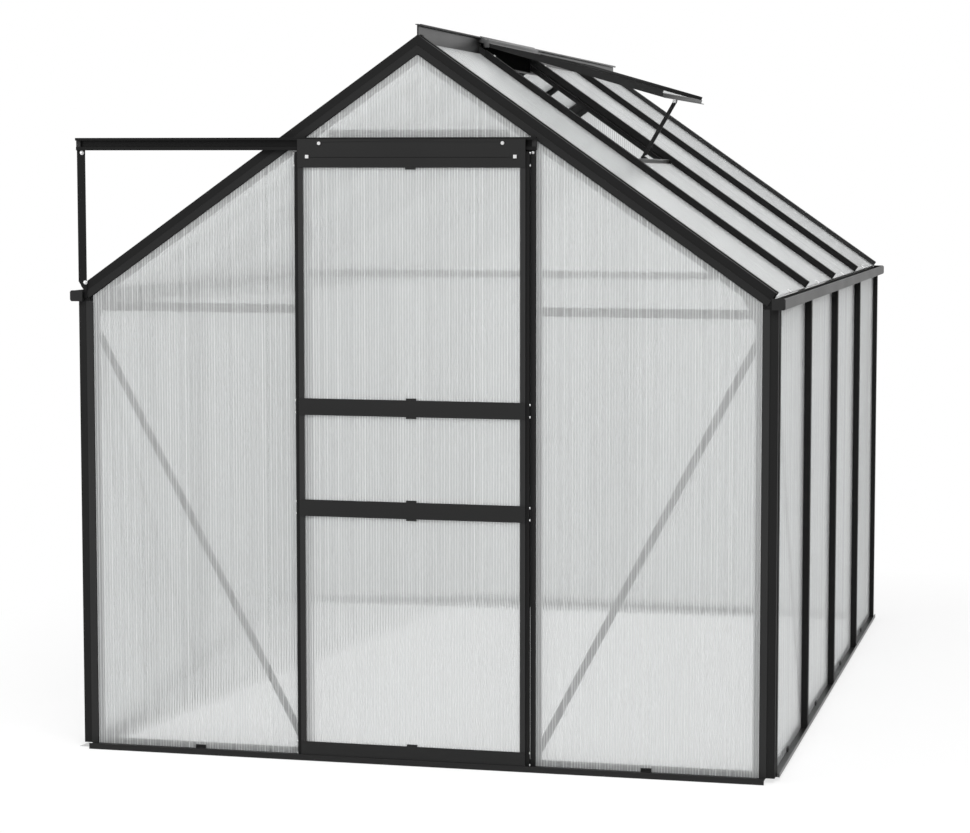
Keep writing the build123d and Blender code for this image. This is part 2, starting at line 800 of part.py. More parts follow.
# Strut that carries the track's free end, tapered past the gutter and stiffened by a return
strut_left = track_left - wall
strut_right = strut_left + strut_width
strut_foot_left = -(gutter_in - panel_room)
strut_foot = roof_z(strut_right, post_size) + wall
taper_low = eaves_height + gutter_height + cap_margin * 2
taper_high = taper_low + strut_width
with BuildPart() as strut:
    with BuildSketch(gable_slab(FRONT, -strut_thickness, strut_thickness)):
        outline = [
            (strut_left, track_top),
            (strut_right, track_top),
            (strut_right, strut_foot),
            (strut_foot_left, strut_foot),
            (strut_foot_left, taper_low),
            (strut_left, taper_high),
        ]
        Polygon(*outline, align=None)
    extrude(amount=strut_thickness)
    with BuildSketch(gable_slab(FRONT, 0, strut_return)):
        Polygon(*rectangle(strut_left, strut_left + wall, taper_high, track_low), align=None)
    extrude(amount=strut_return)
keep(strut.part, "track_strut")

# Sliding door
door_half = door_width / 2
rail_back = -door_front + wall
stile_back = rail_back + door_depth
pane_front = rail_back + wall + door_pocket
pane_back = pane_front + panel_thickness
header_top = track_top - header_drop
header_low = header_top - header_height
stile_top = track_low - header_drop
rail_half = door_half - stile_edge
web_half = door_half - stile_face - door_pocket
seat_bar_half = door_half - stile_seat - door_pocket
roller_z = lip_top + seat_gap + roller_groove
roller_x = roller_span / 2
roller_mid = (lip_back + lip_front) / 2
square_z = (header_low + stile_top) / 2 + wall * 4
square_x = door_half - square_bolt_inset
step_back = rail_back + stile_step

for side, side_name in ((LEFT, "left"), (RIGHT, "right")):
    stile_section = [
        (0, step_back),
        (stile_edge, step_back),
        (stile_edge, rail_back),
        (stile_face, rail_back),
        (stile_face, rail_back + wall),
        (stile_edge + wall, rail_back + wall),
        (stile_edge + wall, step_back + wall),
        (wall, step_back + wall),
        (wall, pane_back),
        (stile_seat, pane_back),
        (stile_seat, pane_back + wall),
        (wall, pane_back + wall),
        (wall, stile_back),
        (0, stile_back),
    ]
    with BuildPart() as stile:
        with BuildSketch(Plane.XY.offset(door_floor)):
            Polygon(*[(side * (door_half - u), front_y + d) for u, d in stile_section], align=None)
        extrude(amount=stile_top - door_floor)
    keep_door(stile.part, f"door_{side_name}_stile")


def door_rail(low, high, shelf_low, seat_low, seat_high):
    """Face plate across both stiles, with a shelf and a seat for the panes between them."""
    with BuildPart() as rail:
        with BuildSketch(gable_slab(FRONT, -door_front, wall)):
            Polygon(*rectangle(-rail_half, rail_half, low, high), align=None)
        extrude(amount=wall)
        with BuildSketch(gable_slab(FRONT, rail_back, pane_back - rail_back)):
            Polygon(*rectangle(-web_half, web_half, shelf_low, shelf_low + wall), align=None)
        extrude(amount=pane_back - rail_back)
        with BuildSketch(gable_slab(FRONT, pane_back, wall)):
            Polygon(*rectangle(-seat_bar_half, seat_bar_half, seat_low, seat_high), align=None)
        extrude(amount=wall)
    return rail.part


def mid_rail(height):
    low = height - rail_height / 2
    seat = rail_seat / 2
    return door_rail(low, low + rail_height, height - wall / 2, height - seat, height + seat)


shelf_z = door_floor + shelf_height
header_shelf_z = header_low + header_shelf
with BuildPart() as mid_rails:
    add(mid_rail(upper_rail_height))
    add(mid_rail(lower_rail_height))
keep_door(mid_rails.part, "door_mid_rails")
bottom_rail_top = door_floor + bottom_rail_height
bottom_rail = door_rail(door_floor, bottom_rail_top, shelf_z, shelf_z, bottom_rail_top - wall)
keep_door(bottom_rail, "door_bottom_rail")

with BuildPart() as header:
    add(door_rail(header_low, header_top, header_shelf_z, header_low + wall, header_shelf_z + wall))
    with BuildSketch(gable_slab(FRONT, -door_front, wall)):
        rollers = [(-roller_x, roller_z), (roller_x, roller_z)]
        squares = [(-square_x, square_z), (square_x, square_z)]
        with Locations(*rollers, *squares):
            Circle(axle_radius + running_clearance)
    extrude(amount=wall, mode=Mode.SUBTRACT)
keep_door(header.part, "door_header")

pane_spans = [
    (shelf_z + wall, lower_rail_height - wall / 2 - panel_room),
    (lower_rail_height + wall / 2, upper_rail_height - wall / 2 - panel_room),
    (upper_rail_height + wall / 2, header_shelf_z - panel_room),
]
pane_half = door_half - stile_edge - wall - panel_room
with BuildPart() as door_panels:
    with BuildSketch(gable_slab(FRONT, pane_front, panel_thickness)):
        for z0, z1 in pane_spans:
            Polygon(*rectangle(-pane_half, pane_half, z0, z1), align=None)
    extrude(amount=panel_thickness)
keep_door(door_panels.part, "door_panels")

clip_starts = [
    bottom_rail_top,
    lower_rail_height - rail_height / 2 - clip_height,
    lower_rail_height + rail_height / 2,
    upper_rail_height - rail_height / 2 - clip_height,
    upper_rail_height + rail_height / 2,
    header_low - clip_height,
]
with BuildPart() as door_clips:
    with BuildSketch(gable_slab(FRONT, rail_back - wall / 2, pane_front - rail_back + wall / 2)):
        for z in clip_starts:
            Polygon(*rectangle(-clip_width / 2, clip_width / 2, z, z + clip_height), align=None)
    extrude(amount=pane_front - rail_back + wall / 2)
keep_door(door_clips.part, "door_glazing_clips")

guide_x = web_half - guide_length
with BuildPart() as door_guides:
    with BuildSketch(gable_slab(FRONT, rail_back, pane_back - rail_back)):
        for side in (LEFT, RIGHT):
            block = rectangle(side * guide_x, side * (guide_x + guide_length), sill_ledge + seat_gap, shelf_z)
            Polygon(*block, align=None)
    extrude(amount=pane_back - rail_back)
keep_door(door_guides.part, "door_guide_blocks")

# Roller axles with round heads, and square-headed bolts with nuts behind the header
head_front = -door_front - bolt_head_height
axle_end = roller_mid + roller_width / 2
with BuildPart() as axles:
    with BuildSketch(gable_slab(FRONT, head_front, bolt_head_height)):
        with Locations((-roller_x, roller_z), (roller_x, roller_z)):
            Circle(bolt_head)
    extrude(amount=bolt_head_height)
    with BuildSketch(gable_slab(FRONT, head_front, axle_end - head_front)):
        with Locations((-roller_x, roller_z), (roller_x, roller_z)):
            Circle(axle_radius)
    extrude(amount=axle_end - head_front)
keep_door(axles.part, "door_roller_axles")

with BuildPart() as square_bolts:
    with BuildSketch(gable_slab(FRONT, head_front, bolt_head_height)):
        with Locations((-square_x, square_z), (square_x, square_z)):
            Rectangle(bolt_head * 2, bolt_head * 2)
    extrude(amount=bolt_head_height)
    shank = pane_back - head_front
    with BuildSketch(gable_slab(FRONT, head_front, shank)):
        with Locations((-square_x, square_z), (square_x, square_z)):
            Circle(axle_radius)
    extrude(amount=shank)
    with BuildSketch(gable_slab(FRONT, rail_back, bolt_head_height)):
        with Locations((-square_x, square_z), (square_x, square_z)):
            RegularPolygon(bolt_head, 6)
    extrude(amount=bolt_head_height)
keep_door(square_bolts.part, "door_header_bolts")

# Grooved rollers that run on the track's lip
rim = roller_width / 2
groove = groove_width / 2
roller_section = [
    (axle_radius + running_clearance, -rim),
    (roller_radius, -rim),
    (roller_radius, -groove),
    (roller_groove, -groove),
    (roller_groove, groove),
    (roller_radius, groove),
    (roller_radius, rim),
    (axle_radius + running_clearance, rim),
]
for side, side_name in ((LEFT, "left"), (RIGHT, "right")):
    centre = Plane(origin=(side * roller_x, front_y + roller_mid, roller_z), x_dir=(1, 0, 0), z_dir=(0, 0, 1))
    with BuildPart() as roller:
        with BuildSketch(centre):
            Polygon(*roller_section, align=None)
        revolve(axis=Axis(centre.origin, (0, 1, 0)))
    keep_door(roller.part, f"door_{side_name}_roller")

# Roof vent, drawn in its open position about the hinge bead on the ridge
vent_tilt = pitch - radians(vent_open)
hinge_height = (hinge_z - roof_z(hinge_reach)) * cos(pitch)
vent_low = cover_proud + vent_clearance - hinge_height
vent_high = vent_low + vent_wall_height
vent_y0 = bar_ys[vent_bay - 1] - vent_lap
vent_y1 = bar_ys[vent_bay] + vent_lap
vent_mid = (vent_y0 + vent_y1) / 2
vent_width = vent_y1 - vent_y0
seat_top = -vent_seat_drop
seat_low = seat_top - wall
hold_low = seat_top + panel_thickness + door_pocket
hold_high = hold_low + wall
leg_back = vent_leg_set + wall
vent_end = vent_length - wall
inner_width = vent_width - (wall + vent_seat + vent_sill_room) * 2


def vent_section(y):
    """Plane across the vent: local x runs from the hinge to the bottom rail, local y is outwards."""
    down_vent = (cos(vent_tilt), 0, -sin(vent_tilt))
    return Plane(origin=(hinge_reach, y, hinge_z), x_dir=down_vent, z_dir=(0, -1, 0))


def vent_run(start):
    """Plane along the vent at this distance from the hinge: local x is +Y, local y is outwards."""
    down_vent = (cos(vent_tilt), 0, -sin(vent_tilt))
    along = Plane(origin=(hinge_reach, 0, hinge_z), x_dir=(0, 1, 0), z_dir=down_vent)
    return along.offset(start)


# Hinge rail: a C-shaped knuckle round the bead, a leg, and the pocket for the vent's panel
bore = hinge_bead + running_clearance
knuckle = bore + knuckle_wall
neck_angle = degrees(atan2(neck_thickness / 2, hinge_bead))
mouth_middle = 180 + degrees(pitch) - vent_open / 2
mouth_half = neck_angle + vent_open / 2 + knuckle_margin
with BuildPart() as hinge_rail:
    with BuildSketch(vent_section(vent_y1)):
        Circle(knuckle)
        Polygon(*rectangle(bore + wall / 4, leg_back, -wall / 2, wall / 2), align=None)
        Polygon(*rectangle(vent_leg_set, leg_back, vent_low, wall / 2), align=None)
        Circle(bore, mode=Mode.SUBTRACT)
        lips = [radians(mouth_middle - mouth_half), radians(mouth_middle + mouth_half)]
        mouth = [(0, 0)] + [(knuckle * 2 * cos(a), knuckle * 2 * sin(a)) for a in lips]
        Polygon(*mouth, align=None, mode=Mode.SUBTRACT)
    extrude(amount=vent_width)
    with BuildSketch(vent_section(vent_mid + inner_width / 2)):
        Polygon(*rectangle(vent_leg_set, leg_back + vent_seat, seat_low, seat_top), align=None)
        Polygon(*rectangle(vent_leg_set, leg_back + vent_seat, hold_low, hold_high), align=None)
    extrude(amount=inner_width)
keep(hinge_rail.part, "vent_hinge_rail")

side_points = [
    (0, vent_low),
    (wall, vent_low),
    (wall, seat_low),
    (wall + vent_seat, seat_low),
    (wall + vent_seat, seat_top),
    (wall, seat_top),
    (wall, hold_low),
    (wall + vent_seat, hold_low),
    (wall + vent_seat, hold_high),
    (wall, hold_high),
    (wall, vent_high),
    (0, vent_high),
]
with BuildPart() as vent_bars:
    with BuildSketch(vent_run(leg_back)):
        Polygon(*[(vent_y0 + u, h) for u, h in side_points], align=None)
        Polygon(*[(vent_y1 - u, h) for u, h in side_points], align=None)
    extrude(amount=vent_end - leg_back)
keep(vent_bars.part, "vent_side_bars")

with BuildPart() as vent_bottom:
    with BuildSketch(vent_section(vent_y1)):
        Polygon(*rectangle(vent_end, vent_length, vent_low, hold_high), align=None)
        Polygon(*rectangle(vent_length, vent_length + vent_lip, vent_low, vent_low + wall), align=None)
    extrude(amount=vent_width)
    with BuildSketch(vent_section(vent_mid + inner_width / 2)):
        Polygon(*rectangle(vent_end - vent_seat, vent_length, seat_low, seat_top), align=None)
        Polygon(*rectangle(vent_end - vent_seat, vent_length, hold_low, hold_high), align=None)
    extrude(amount=inner_width)
keep(vent_bottom.part, "vent_bottom_rail")

pane_width = vent_width - (wall + panel_room) * 2
with BuildPart() as vent_panel:
    with BuildSketch(vent_section(vent_mid + pane_width / 2)):
        pane = rectangle(leg_back + panel_room, vent_end - panel_room, seat_top, seat_top + panel_thickness)
        Polygon(*pane, align=None)
    extrude(amount=pane_width)
keep(vent_panel.part, "vent_panel")

# Bracket under the vent's bottom rail: two lugs and the pin that the stay turns on
pivot_t = vent_length - stay_pivot_set
pivot_h = -stay_pivot_drop
lug_gap = stay_thickness + lug_room * 2
lug_half = stay_eye - wall / 2
bracket_end = vent_end - panel_room
with BuildPart() as stay_bracket:
    for y in (vent_mid + lug_gap / 2 + lug_thickness, vent_mid - lug_gap / 2):
        with BuildSketch(vent_section(y)):
            Polygon(*rectangle(pivot_t - lug_half, pivot_t + lug_half, pivot_h, seat_low - wall), align=None)
            with Locations((pivot_t, pivot_h)):
                Circle(lug_half)
        extrude(amount=lug_thickness)
    with BuildSketch(vent_section(vent_mid + stay_eye * 3)):
        Polygon(*rectangle(pivot_t - lug_half, bracket_end, seat_low - wall, seat_low), align=None)
    extrude(amount=stay_eye * 6)
    with BuildSketch(vent_section(vent_mid + lug_gap / 2)):
        with Locations((pivot_t, pivot_h)):
            Circle(stay_pin)
    extrude(amount=lug_gap)
keep(stay_bracket.part, "vent_stay_bracket")

# Sill below the vent, with the peg that the stay's notch stands on
sill_deck = seat_depth - wall
sill_half = bay / 2 - cover_width / 2 - vent_sill_room
upstand_at = vent_sill_at + vent_upstand_set
vent_sill_points = [
    (vent_sill_at, seat_depth),
    (vent_sill_end, seat_depth),
    (vent_sill_end, sill_deck),
    (upstand_at + wall, sill_deck),
    (upstand_at + wall, sill_deck - vent_upstand),
    (upstand_at, sill_deck - vent_upstand),
    (upstand_at, sill_deck),
    (vent_sill_at, sill_deck),
]


def on_slope(s, depth):
    """X and Z of a point this far down the right slope and this deep below the roof plane."""
    return (s * cos(pitch) - depth * sin(pitch), apex_height - s * sin(pitch) - depth * cos(pitch))


with BuildPart() as vent_sill:
    with BuildSketch(Plane.XZ.offset(-vent_mid - sill_half)):
        Polygon(*[on_slope(s, d) for s, d in vent_sill_points], align=None)
    extrude(amount=sill_half * 2)
keep(vent_sill.part, "vent_sill")

peg_s = vent_sill_at - peg_set
peg_depth = sill_deck + peg_drop
peg_x, peg_z = on_slope(peg_s, peg_depth)
plate_back = vent_mid + stay_thickness / 2 + peg_clearance * 2
plate_start = peg_s - peg_radius * 2
plate_low = peg_depth + peg_radius * 2
plate_high = peg_depth - peg_radius * 2
edge_back = vent_sill_at - vent_sill_room
with BuildPart() as stay_peg:
    with BuildSketch(Plane.XZ.offset(-plate_back - lug_thickness)):
        plate = rectangle(plate_start, edge_back, plate_low, plate_high)
        shelf = rectangle(plate_start, vent_sill_at + peg_set, sill_deck, plate_high)
        Polygon(*[on_slope(s, d) for s, d in plate], align=None)
        Polygon(*[on_slope(s, d) for s, d in shelf], align=None)
    extrude(amount=lug_thickness)
    with BuildSketch(Plane.XZ.offset(-plate_back)):
        with Locations((peg_x, peg_z)):
            Circle(peg_radius)
    extrude(amount=plate_back - vent_mid + stay_thickness)
keep(stay_peg.part, "vent_stay_peg")

# Stay: an eye on the bracket's pin, and a notch open the way the peg leaves it
pivot_x = hinge_reach + pivot_t * cos(vent_tilt) + pivot_h * sin(vent_tilt)
pivot_z = hinge_z - pivot_t * sin(vent_tilt) + pivot_h * cos(vent_tilt)
stay_x = peg_x - pivot_x
stay_z = peg_z - pivot_z
stay_length = hypot(stay_x, stay_z)
swing = 1 + stay_ratio
leave_x = -(pivot_z - hinge_z + swing * stay_z)
leave_z = pivot_x - hinge_reach + swing * stay_x
along = (leave_x * stay_x + leave_z * stay_z) / stay_length
across = (leave_z * stay_x - leave_x * stay_z) / stay_length
stay_plane = Plane(
    origin=(pivot_x, vent_mid + stay_thickness / 2, pivot_z),
    x_dir=(stay_x, 0, stay_z),
    z_dir=(0, -1, 0),
)
with BuildPart() as stay:
    with BuildSketch(stay_plane):
        half = stay_width / 2
        Polygon(*rectangle(0, stay_length, -half, half), align=None)
        Circle(stay_eye)
        Circle(stay_pin + running_clearance, mode=Mode.SUBTRACT)
        with Locations((stay_length, 0)):
            Circle(half + wall / 2)
            Circle(peg_radius + peg_clearance, mode=Mode.SUBTRACT)
        with Locations(Location((stay_length, 0), (0, 0, degrees(atan2(across, along))))):
            Rectangle(
                stay_width * 2,
                (peg_radius + peg_clearance) * 2,
                align=(Align.MIN, Align.CENTER),
                mode=Mode.SUBTRACT,
            )
    extrude(amount=stay_thickness)
keep(stay.part, "vent_stay")

print("hinge", round(hinge_reach, 3), round(hinge_z, 3))
print("stay pivot", round(pivot_x, 3), round(pivot_z, 3), "length", round(stay_length, 2))
print("rollers", door_set, "+-", round(roller_x, 3), round(front_y + roller_mid, 3), round(roller_z, 3))
print("gables", front_y, rear_y, "ridge top", round(ridge_top, 2))
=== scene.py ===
# %% [markdown]
# # An apex greenhouse, dressed for the camera
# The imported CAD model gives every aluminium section, gutter, hinge and roller in its true place.
# This lesson gives those pieces their finishes and models what CAD leaves plain: the fluted twin-wall
# sheets, the bolts, screws and small plates, and a soft studio with the camera where the photograph was
# taken.

# %% Load the frame
import json
from math import cos, radians, sin

import bpy
from mathutils import Euler, Matrix, Vector

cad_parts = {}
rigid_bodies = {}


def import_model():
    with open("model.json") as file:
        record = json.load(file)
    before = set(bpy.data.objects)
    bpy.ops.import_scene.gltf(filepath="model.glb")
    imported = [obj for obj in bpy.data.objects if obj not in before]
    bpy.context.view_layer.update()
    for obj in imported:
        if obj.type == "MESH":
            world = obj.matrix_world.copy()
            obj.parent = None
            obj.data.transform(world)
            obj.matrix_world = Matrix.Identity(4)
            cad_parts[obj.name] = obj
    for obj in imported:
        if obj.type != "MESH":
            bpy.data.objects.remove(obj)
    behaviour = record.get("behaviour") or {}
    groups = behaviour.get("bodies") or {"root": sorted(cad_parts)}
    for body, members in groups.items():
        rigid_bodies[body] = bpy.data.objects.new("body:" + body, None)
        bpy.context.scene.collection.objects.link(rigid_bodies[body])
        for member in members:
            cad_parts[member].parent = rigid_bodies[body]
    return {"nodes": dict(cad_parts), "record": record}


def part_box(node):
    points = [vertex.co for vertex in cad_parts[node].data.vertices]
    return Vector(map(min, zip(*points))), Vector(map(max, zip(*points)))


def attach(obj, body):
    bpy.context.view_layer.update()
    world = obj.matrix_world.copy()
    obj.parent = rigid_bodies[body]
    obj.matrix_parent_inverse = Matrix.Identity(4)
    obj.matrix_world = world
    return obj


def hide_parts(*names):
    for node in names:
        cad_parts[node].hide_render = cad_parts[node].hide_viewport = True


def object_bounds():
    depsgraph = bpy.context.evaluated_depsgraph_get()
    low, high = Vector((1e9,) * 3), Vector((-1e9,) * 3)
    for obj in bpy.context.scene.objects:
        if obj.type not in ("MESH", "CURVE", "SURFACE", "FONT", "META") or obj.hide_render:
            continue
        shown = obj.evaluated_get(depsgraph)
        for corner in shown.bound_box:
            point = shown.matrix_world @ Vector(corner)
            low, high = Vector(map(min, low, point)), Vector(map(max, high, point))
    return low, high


for leftover in list(bpy.data.objects):
    bpy.data.objects.remove(leftover)
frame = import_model()
cad_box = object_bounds()
nodes = frame["nodes"]
joints = {joint["name"]: joint for joint in frame["record"]["behaviour"]["joints"]}
scene = bpy.context.scene
scene.view_settings.view_transform = "Standard"
print("CAD nodes:", len(nodes), "box:", [tuple(round(c, 3) for c in corner) for corner in cad_box])

# %% [markdown]
# ## Writing finishes as expressions
# A finish is a small network of nodes. Wiring it by hand takes a page, so one class stands for a socket
# and lets plain arithmetic add the Math nodes, and another adds any other node in one call. The same
# class serves the studio's floor and sky at the end.


# %% Sockets that do arithmetic
class Wire:
    """An output socket of a finish. Arithmetic on it adds Math nodes."""

    def __init__(self, finish, socket):
        self.finish = finish
        self.socket = socket

    def math(self, operation, *values):
        inputs = dict(enumerate(values))
        return self.finish.add("Math", {"operation": operation}, inputs)

    def shaped(self, operation, *values):
        """This wire as the first input of an operation, such as FRACT or POWER."""
        return self.math(operation, self, *values)

    def __add__(self, other):
        return self.math("ADD", self, other)

    def __radd__(self, other):
        return self.math("ADD", other, self)

    def __sub__(self, other):
        return self.math("SUBTRACT", self, other)

    def __rsub__(self, other):
        return self.math("SUBTRACT", other, self)

    def __mul__(self, other):
        return self.math("MULTIPLY", self, other)

    def __rmul__(self, other):
        return self.math("MULTIPLY", other, self)


print("wires can add, subtract and multiply")


# %% A material or a world under construction
class Finish:
    """The nodes of a material, or of the world."""

    def __init__(self, owner):
        self.owner = owner
        owner.use_nodes = True
        self.tree = owner.node_tree
        self.tree.nodes.clear()

    def add(self, kind, settings=None, inputs=None, output=0):
        """Add a node: its settings first, then the values or links of its sockets."""
        node = self.tree.nodes.new("ShaderNode" + kind)
        for key, value in (settings or {}).items():
            setattr(node, key, value)
        for key, value in (inputs or {}).items():
            self.feed(node.inputs[key], value)
        return Wire(self, node.outputs[output]) if node.outputs else None

    def feed(self, socket, value):
        if isinstance(value, Wire):
            self.tree.links.new(value.socket, socket)
        else:
            socket.default_value = value

    def place(self):
        """Object coordinates, in metres."""
        return self.add("TexCoord", output="Object")

    def noise(self, scale, detail=2.0):
        return self.add("TexNoise", {}, {"Vector": self.place(), "Scale": scale, "Detail": detail})

    def xyz(self):
        """The three object coordinates, each a wire of its own."""
        split = self.add("SeparateXYZ", {}, {0: self.place()})
        return [Wire(self, socket) for socket in split.socket.node.outputs]

    def blend(self, share, low, high):
        """A colour between two, by a share from 0 to 1. A Mix node has its colours at inputs 6 and 7."""
        return self.add("Mix", {"data_type": "RGBA"}, {0: share, 6: low, 7: high}, output=2)

    def either(self, share, first, second):
        """A mix of two shaders: the first where the share is 0, the second where it is 1."""
        return self.add("MixShader", {}, {0: share, 1: first, 2: second})

    def seen_by_eye(self):
        """1 for a ray of the camera's, also by way of a mirror or through glass, and otherwise 0."""
        kinds = ("Camera", "Glossy", "Transmission")
        straight, mirrored, through = [self.add("LightPath", output=f"Is {kind} Ray") for kind in kinds]
        return straight.shaped("MAXIMUM", mirrored).shaped("MAXIMUM", through)

    def surface(self, shader):
        """Wire a shader to the output, and give the finished material or world."""
        self.add("Output" + type(self.owner).__name__, {}, {"Surface": shader})
        return self.owner


print("finishes can be built from nodes")

# %% [markdown]
# ## Powder coat on the aluminium
# The sections are sprayed with near-black powder and baked. Close up that skin is satin, with a faint
# orange-peel relief and slightly uneven gloss. A flat dark colour would look like a drawing, so the relief
# is a fine noise behind a Bump node, and two coarse noises drift the tint and the gloss.

# %% Coated metal
PEEL_SCALE, PEEL_STRENGTH, PEEL_DEPTH = 900.0, 0.12, 0.0004
GLOSS_SCALE, GLOSS_DRIFT = 6.0, 0.10
TINT_SCALE, TINT_DRIFT = 4.0, 0.10
COOL = 1.02


def grey(level):
    return (level, level, level, 1.0)


def tinted(finish, level, spread, scale):
    """A grey that drifts a little over the surface, slightly cool where it is lightest."""
    cool = level * (1 + spread * COOL)
    high = (level * (1 + spread), cool, cool, 1.0)
    return finish.blend(finish.noise(scale, 3.0), grey(level * (1 - spread)), high)


def powder_coat(name, level, gloss, mirror=0.16, shade_band=None, shade_level=0.0):
    """Coated metal. A shade band, where given, is a mask that is 1 where the coat takes its painted shade."""
    finish = Finish(bpy.data.materials.new(name))
    peel = finish.noise(PEEL_SCALE, 1.0)
    bump = finish.add("Bump", {}, {"Strength": PEEL_STRENGTH, "Distance": PEEL_DEPTH, "Height": peel})
    colour = tinted(finish, level, TINT_DRIFT, TINT_SCALE)
    if shade_band:
        colour = finish.blend(shade_band(finish), colour, tinted(finish, shade_level, TINT_DRIFT, TINT_SCALE))
    body = finish.add("BsdfPrincipled", {}, {
        "Base Color": colour,
        "Roughness": finish.noise(GLOSS_SCALE) * GLOSS_DRIFT + (gloss - GLOSS_DRIFT / 2),
        "Specular IOR Level": mirror,
        "Normal": bump,
    })
    return finish.surface(body)


coat = powder_coat("satin_black_coat", level=0.0115, gloss=0.40)
matt_coat = powder_coat("matt_black_coat", level=0.0105, gloss=0.55, mirror=0.05)
track_coat = powder_coat("track_black_coat", level=0.0055, gloss=0.42, mirror=0.10)
sheen_coat = powder_coat("sheen_black_coat", level=0.0115, gloss=0.34, mirror=0.30)
# Its light grey is painted sheen, over its real gloss: the grazing reflection of a black coat.
painted_sheen_coat = powder_coat("hinge_painted_sheen_coat", level=0.06, gloss=0.30, mirror=0.40)
print("plain coats:", [made.name for made in (coat, matt_coat, track_coat, sheen_coat, painted_sheen_coat)])

# %% [markdown]
# ## Plastic, bright metal and a flat black for painted shade
# Clips, end caps and rollers are moulded, with the fine grain of their mould. Fasteners are zinc plated
# and slightly swirled. Noise at several scales gives both their relief, tint and gloss, which needs no
# picture and holds at any distance.

# %% Moulded plastic and bright metal
GRAIN_SCALE, GRAIN_STRENGTH, RELIEF_DEPTH = 1400.0, 0.2, 0.0003
MOULD_TINT_SCALE, MOULD_TINT = 9.0, 0.12
MOULD_GLOSS_SCALE, MOULD_GLOSS, MOULD_DRIFT = 30.0, 0.42, 0.12
SWIRL_SCALE, SWIRL_STRENGTH = 700.0, 0.1
METAL_TINT_SCALE, METAL_TINT = 300.0, 0.08
METAL_GLOSS, METAL_DRIFT = 0.22, 0.15


def black_plastic(name, level, mirror=0.2):
    finish = Finish(bpy.data.materials.new(name))
    grain = finish.noise(GRAIN_SCALE)
    bump = finish.add("Bump", {}, {"Strength": GRAIN_STRENGTH, "Distance": RELIEF_DEPTH, "Height": grain})
    body = finish.add("BsdfPrincipled", {}, {
        "Base Color": tinted(finish, level, MOULD_TINT, MOULD_TINT_SCALE),
        "Roughness": finish.noise(MOULD_GLOSS_SCALE) * MOULD_DRIFT + MOULD_GLOSS,
        "Specular IOR Level": mirror,
        "Normal": bump,
    })
    return finish.surface(body)


def bright_metal(name, level):
    finish = Finish(bpy.data.materials.new(name))
    swirl = finish.noise(SWIRL_SCALE, 3.0)
    bump = finish.add("Bump", {}, {"Strength": SWIRL_STRENGTH, "Distance": RELIEF_DEPTH, "Height": swirl})
    body = finish.add("BsdfPrincipled", {}, {
        "Base Color": tinted(finish, level, METAL_TINT, METAL_TINT_SCALE),
        "Metallic": 1.0,
        "Roughness": swirl * METAL_DRIFT + METAL_GLOSS,
        "Normal": bump,
    })
    return finish.surface(body)


plastic = black_plastic("black_plastic", level=0.009)
nylon = black_plastic("black_nylon", level=0.014)
# A flat black without gloss, for the painted shade under the vent.
shade_black = black_plastic("painted_shade_black", level=0.004, mirror=0.0)
steel = bright_metal("bright_zinc_steel", level=0.72)
bare_metal = bright_metal("bare_aluminium", level=0.55)
print("moulded and bright:", [made.name for made in (plastic, nylon, shade_black, steel, bare_metal)])

# %% [markdown]
# ## Twin-wall sheet
# The glazing is a thin extruded sheet: two skins joined by fine webs. Each cell between two webs acts
# as a slim lens, so it smears whatever is behind it sideways and leaves level lines readable. More than half
# of the light goes through as in glass, a little more where it leaves the sheet than where it enters, and
# the rest scatters in the milky plastic. No two webs are alike: a one-dimensional noise along the sheet's
# own count of cells makes some milkier and some clearer, which gives the fine uneven stripes.

# %% Twin-wall finish
HAZE_SCALE, HAZE_SHARE = 2.5, 0.4
STREAK_SCALE, STREAK_SHARE = 0.65, 0.6
MILK_DARK, MILK_LIGHT = (0.62, 0.63, 0.63, 1.0), (0.76, 0.77, 0.77, 1.0)
SKIN_GLOSS, SKIN_DRIFT = 0.28, 0.10
GLOW, GLOW_SHARE = (0.66, 0.67, 0.67, 1.0), 0.5
GLASS, GLASS_BLUR, GLASS_IOR = (0.95, 0.955, 0.955, 1.0), 0.02, 1.5
CLEAR_ENTERING, CLEAR_GAIN = 0.58, 0.15
WEB_SHARPNESS, WEB_RANGE, WEB_CLEAR = 5.0, 2.4, 0.72
LAMP_SHARE = 0.8


def twin_wall(name):
    finish = Finish(bpy.data.materials.new(name))
    haze = finish.noise(HAZE_SCALE, 3.0)
    flute = finish.add("Attribute", {"attribute_name": "flute"}, output="Fac")
    along_sheet = {"W": flute, "Scale": STREAK_SCALE, "Detail": 2.0}
    streak = finish.add("TexNoise", {"noise_dimensions": "1D"}, along_sheet)
    web = (flute.shaped("FRACT") * 2.0 - 1.0).shaped("ABSOLUTE").shaped("POWER", WEB_SHARPNESS)
    skin = finish.add("BsdfPrincipled", {}, {
        "Base Color": finish.blend(haze * HAZE_SHARE + streak * STREAK_SHARE, MILK_DARK, MILK_LIGHT),
        "Roughness": haze * SKIN_DRIFT + SKIN_GLOSS,
        "Specular IOR Level": 0.4,
    })
    glow = finish.add("BsdfTranslucent", {}, {"Color": GLOW})
    milky = finish.either(GLOW_SHARE, skin, glow)
    lens = finish.add("BsdfGlass", {}, {"Color": GLASS, "Roughness": GLASS_BLUR, "IOR": GLASS_IOR})
    leaving = finish.add("NewGeometry", output="Backfacing")
    clear = leaving * CLEAR_GAIN + CLEAR_ENTERING - web * (streak * WEB_RANGE - WEB_CLEAR)
    sheet = finish.either(clear, milky, lens)
    shade = finish.add("BsdfTransparent", {}, {"Color": grey(LAMP_SHARE)})
    lamp_ray = finish.add("LightPath", output="Is Shadow Ray")
    return finish.surface(finish.either(lamp_ray, sheet, shade))


fluted = twin_wall("twin_wall_sheet")
print(fluted.name, "has", len(fluted.node_tree.nodes), "nodes")
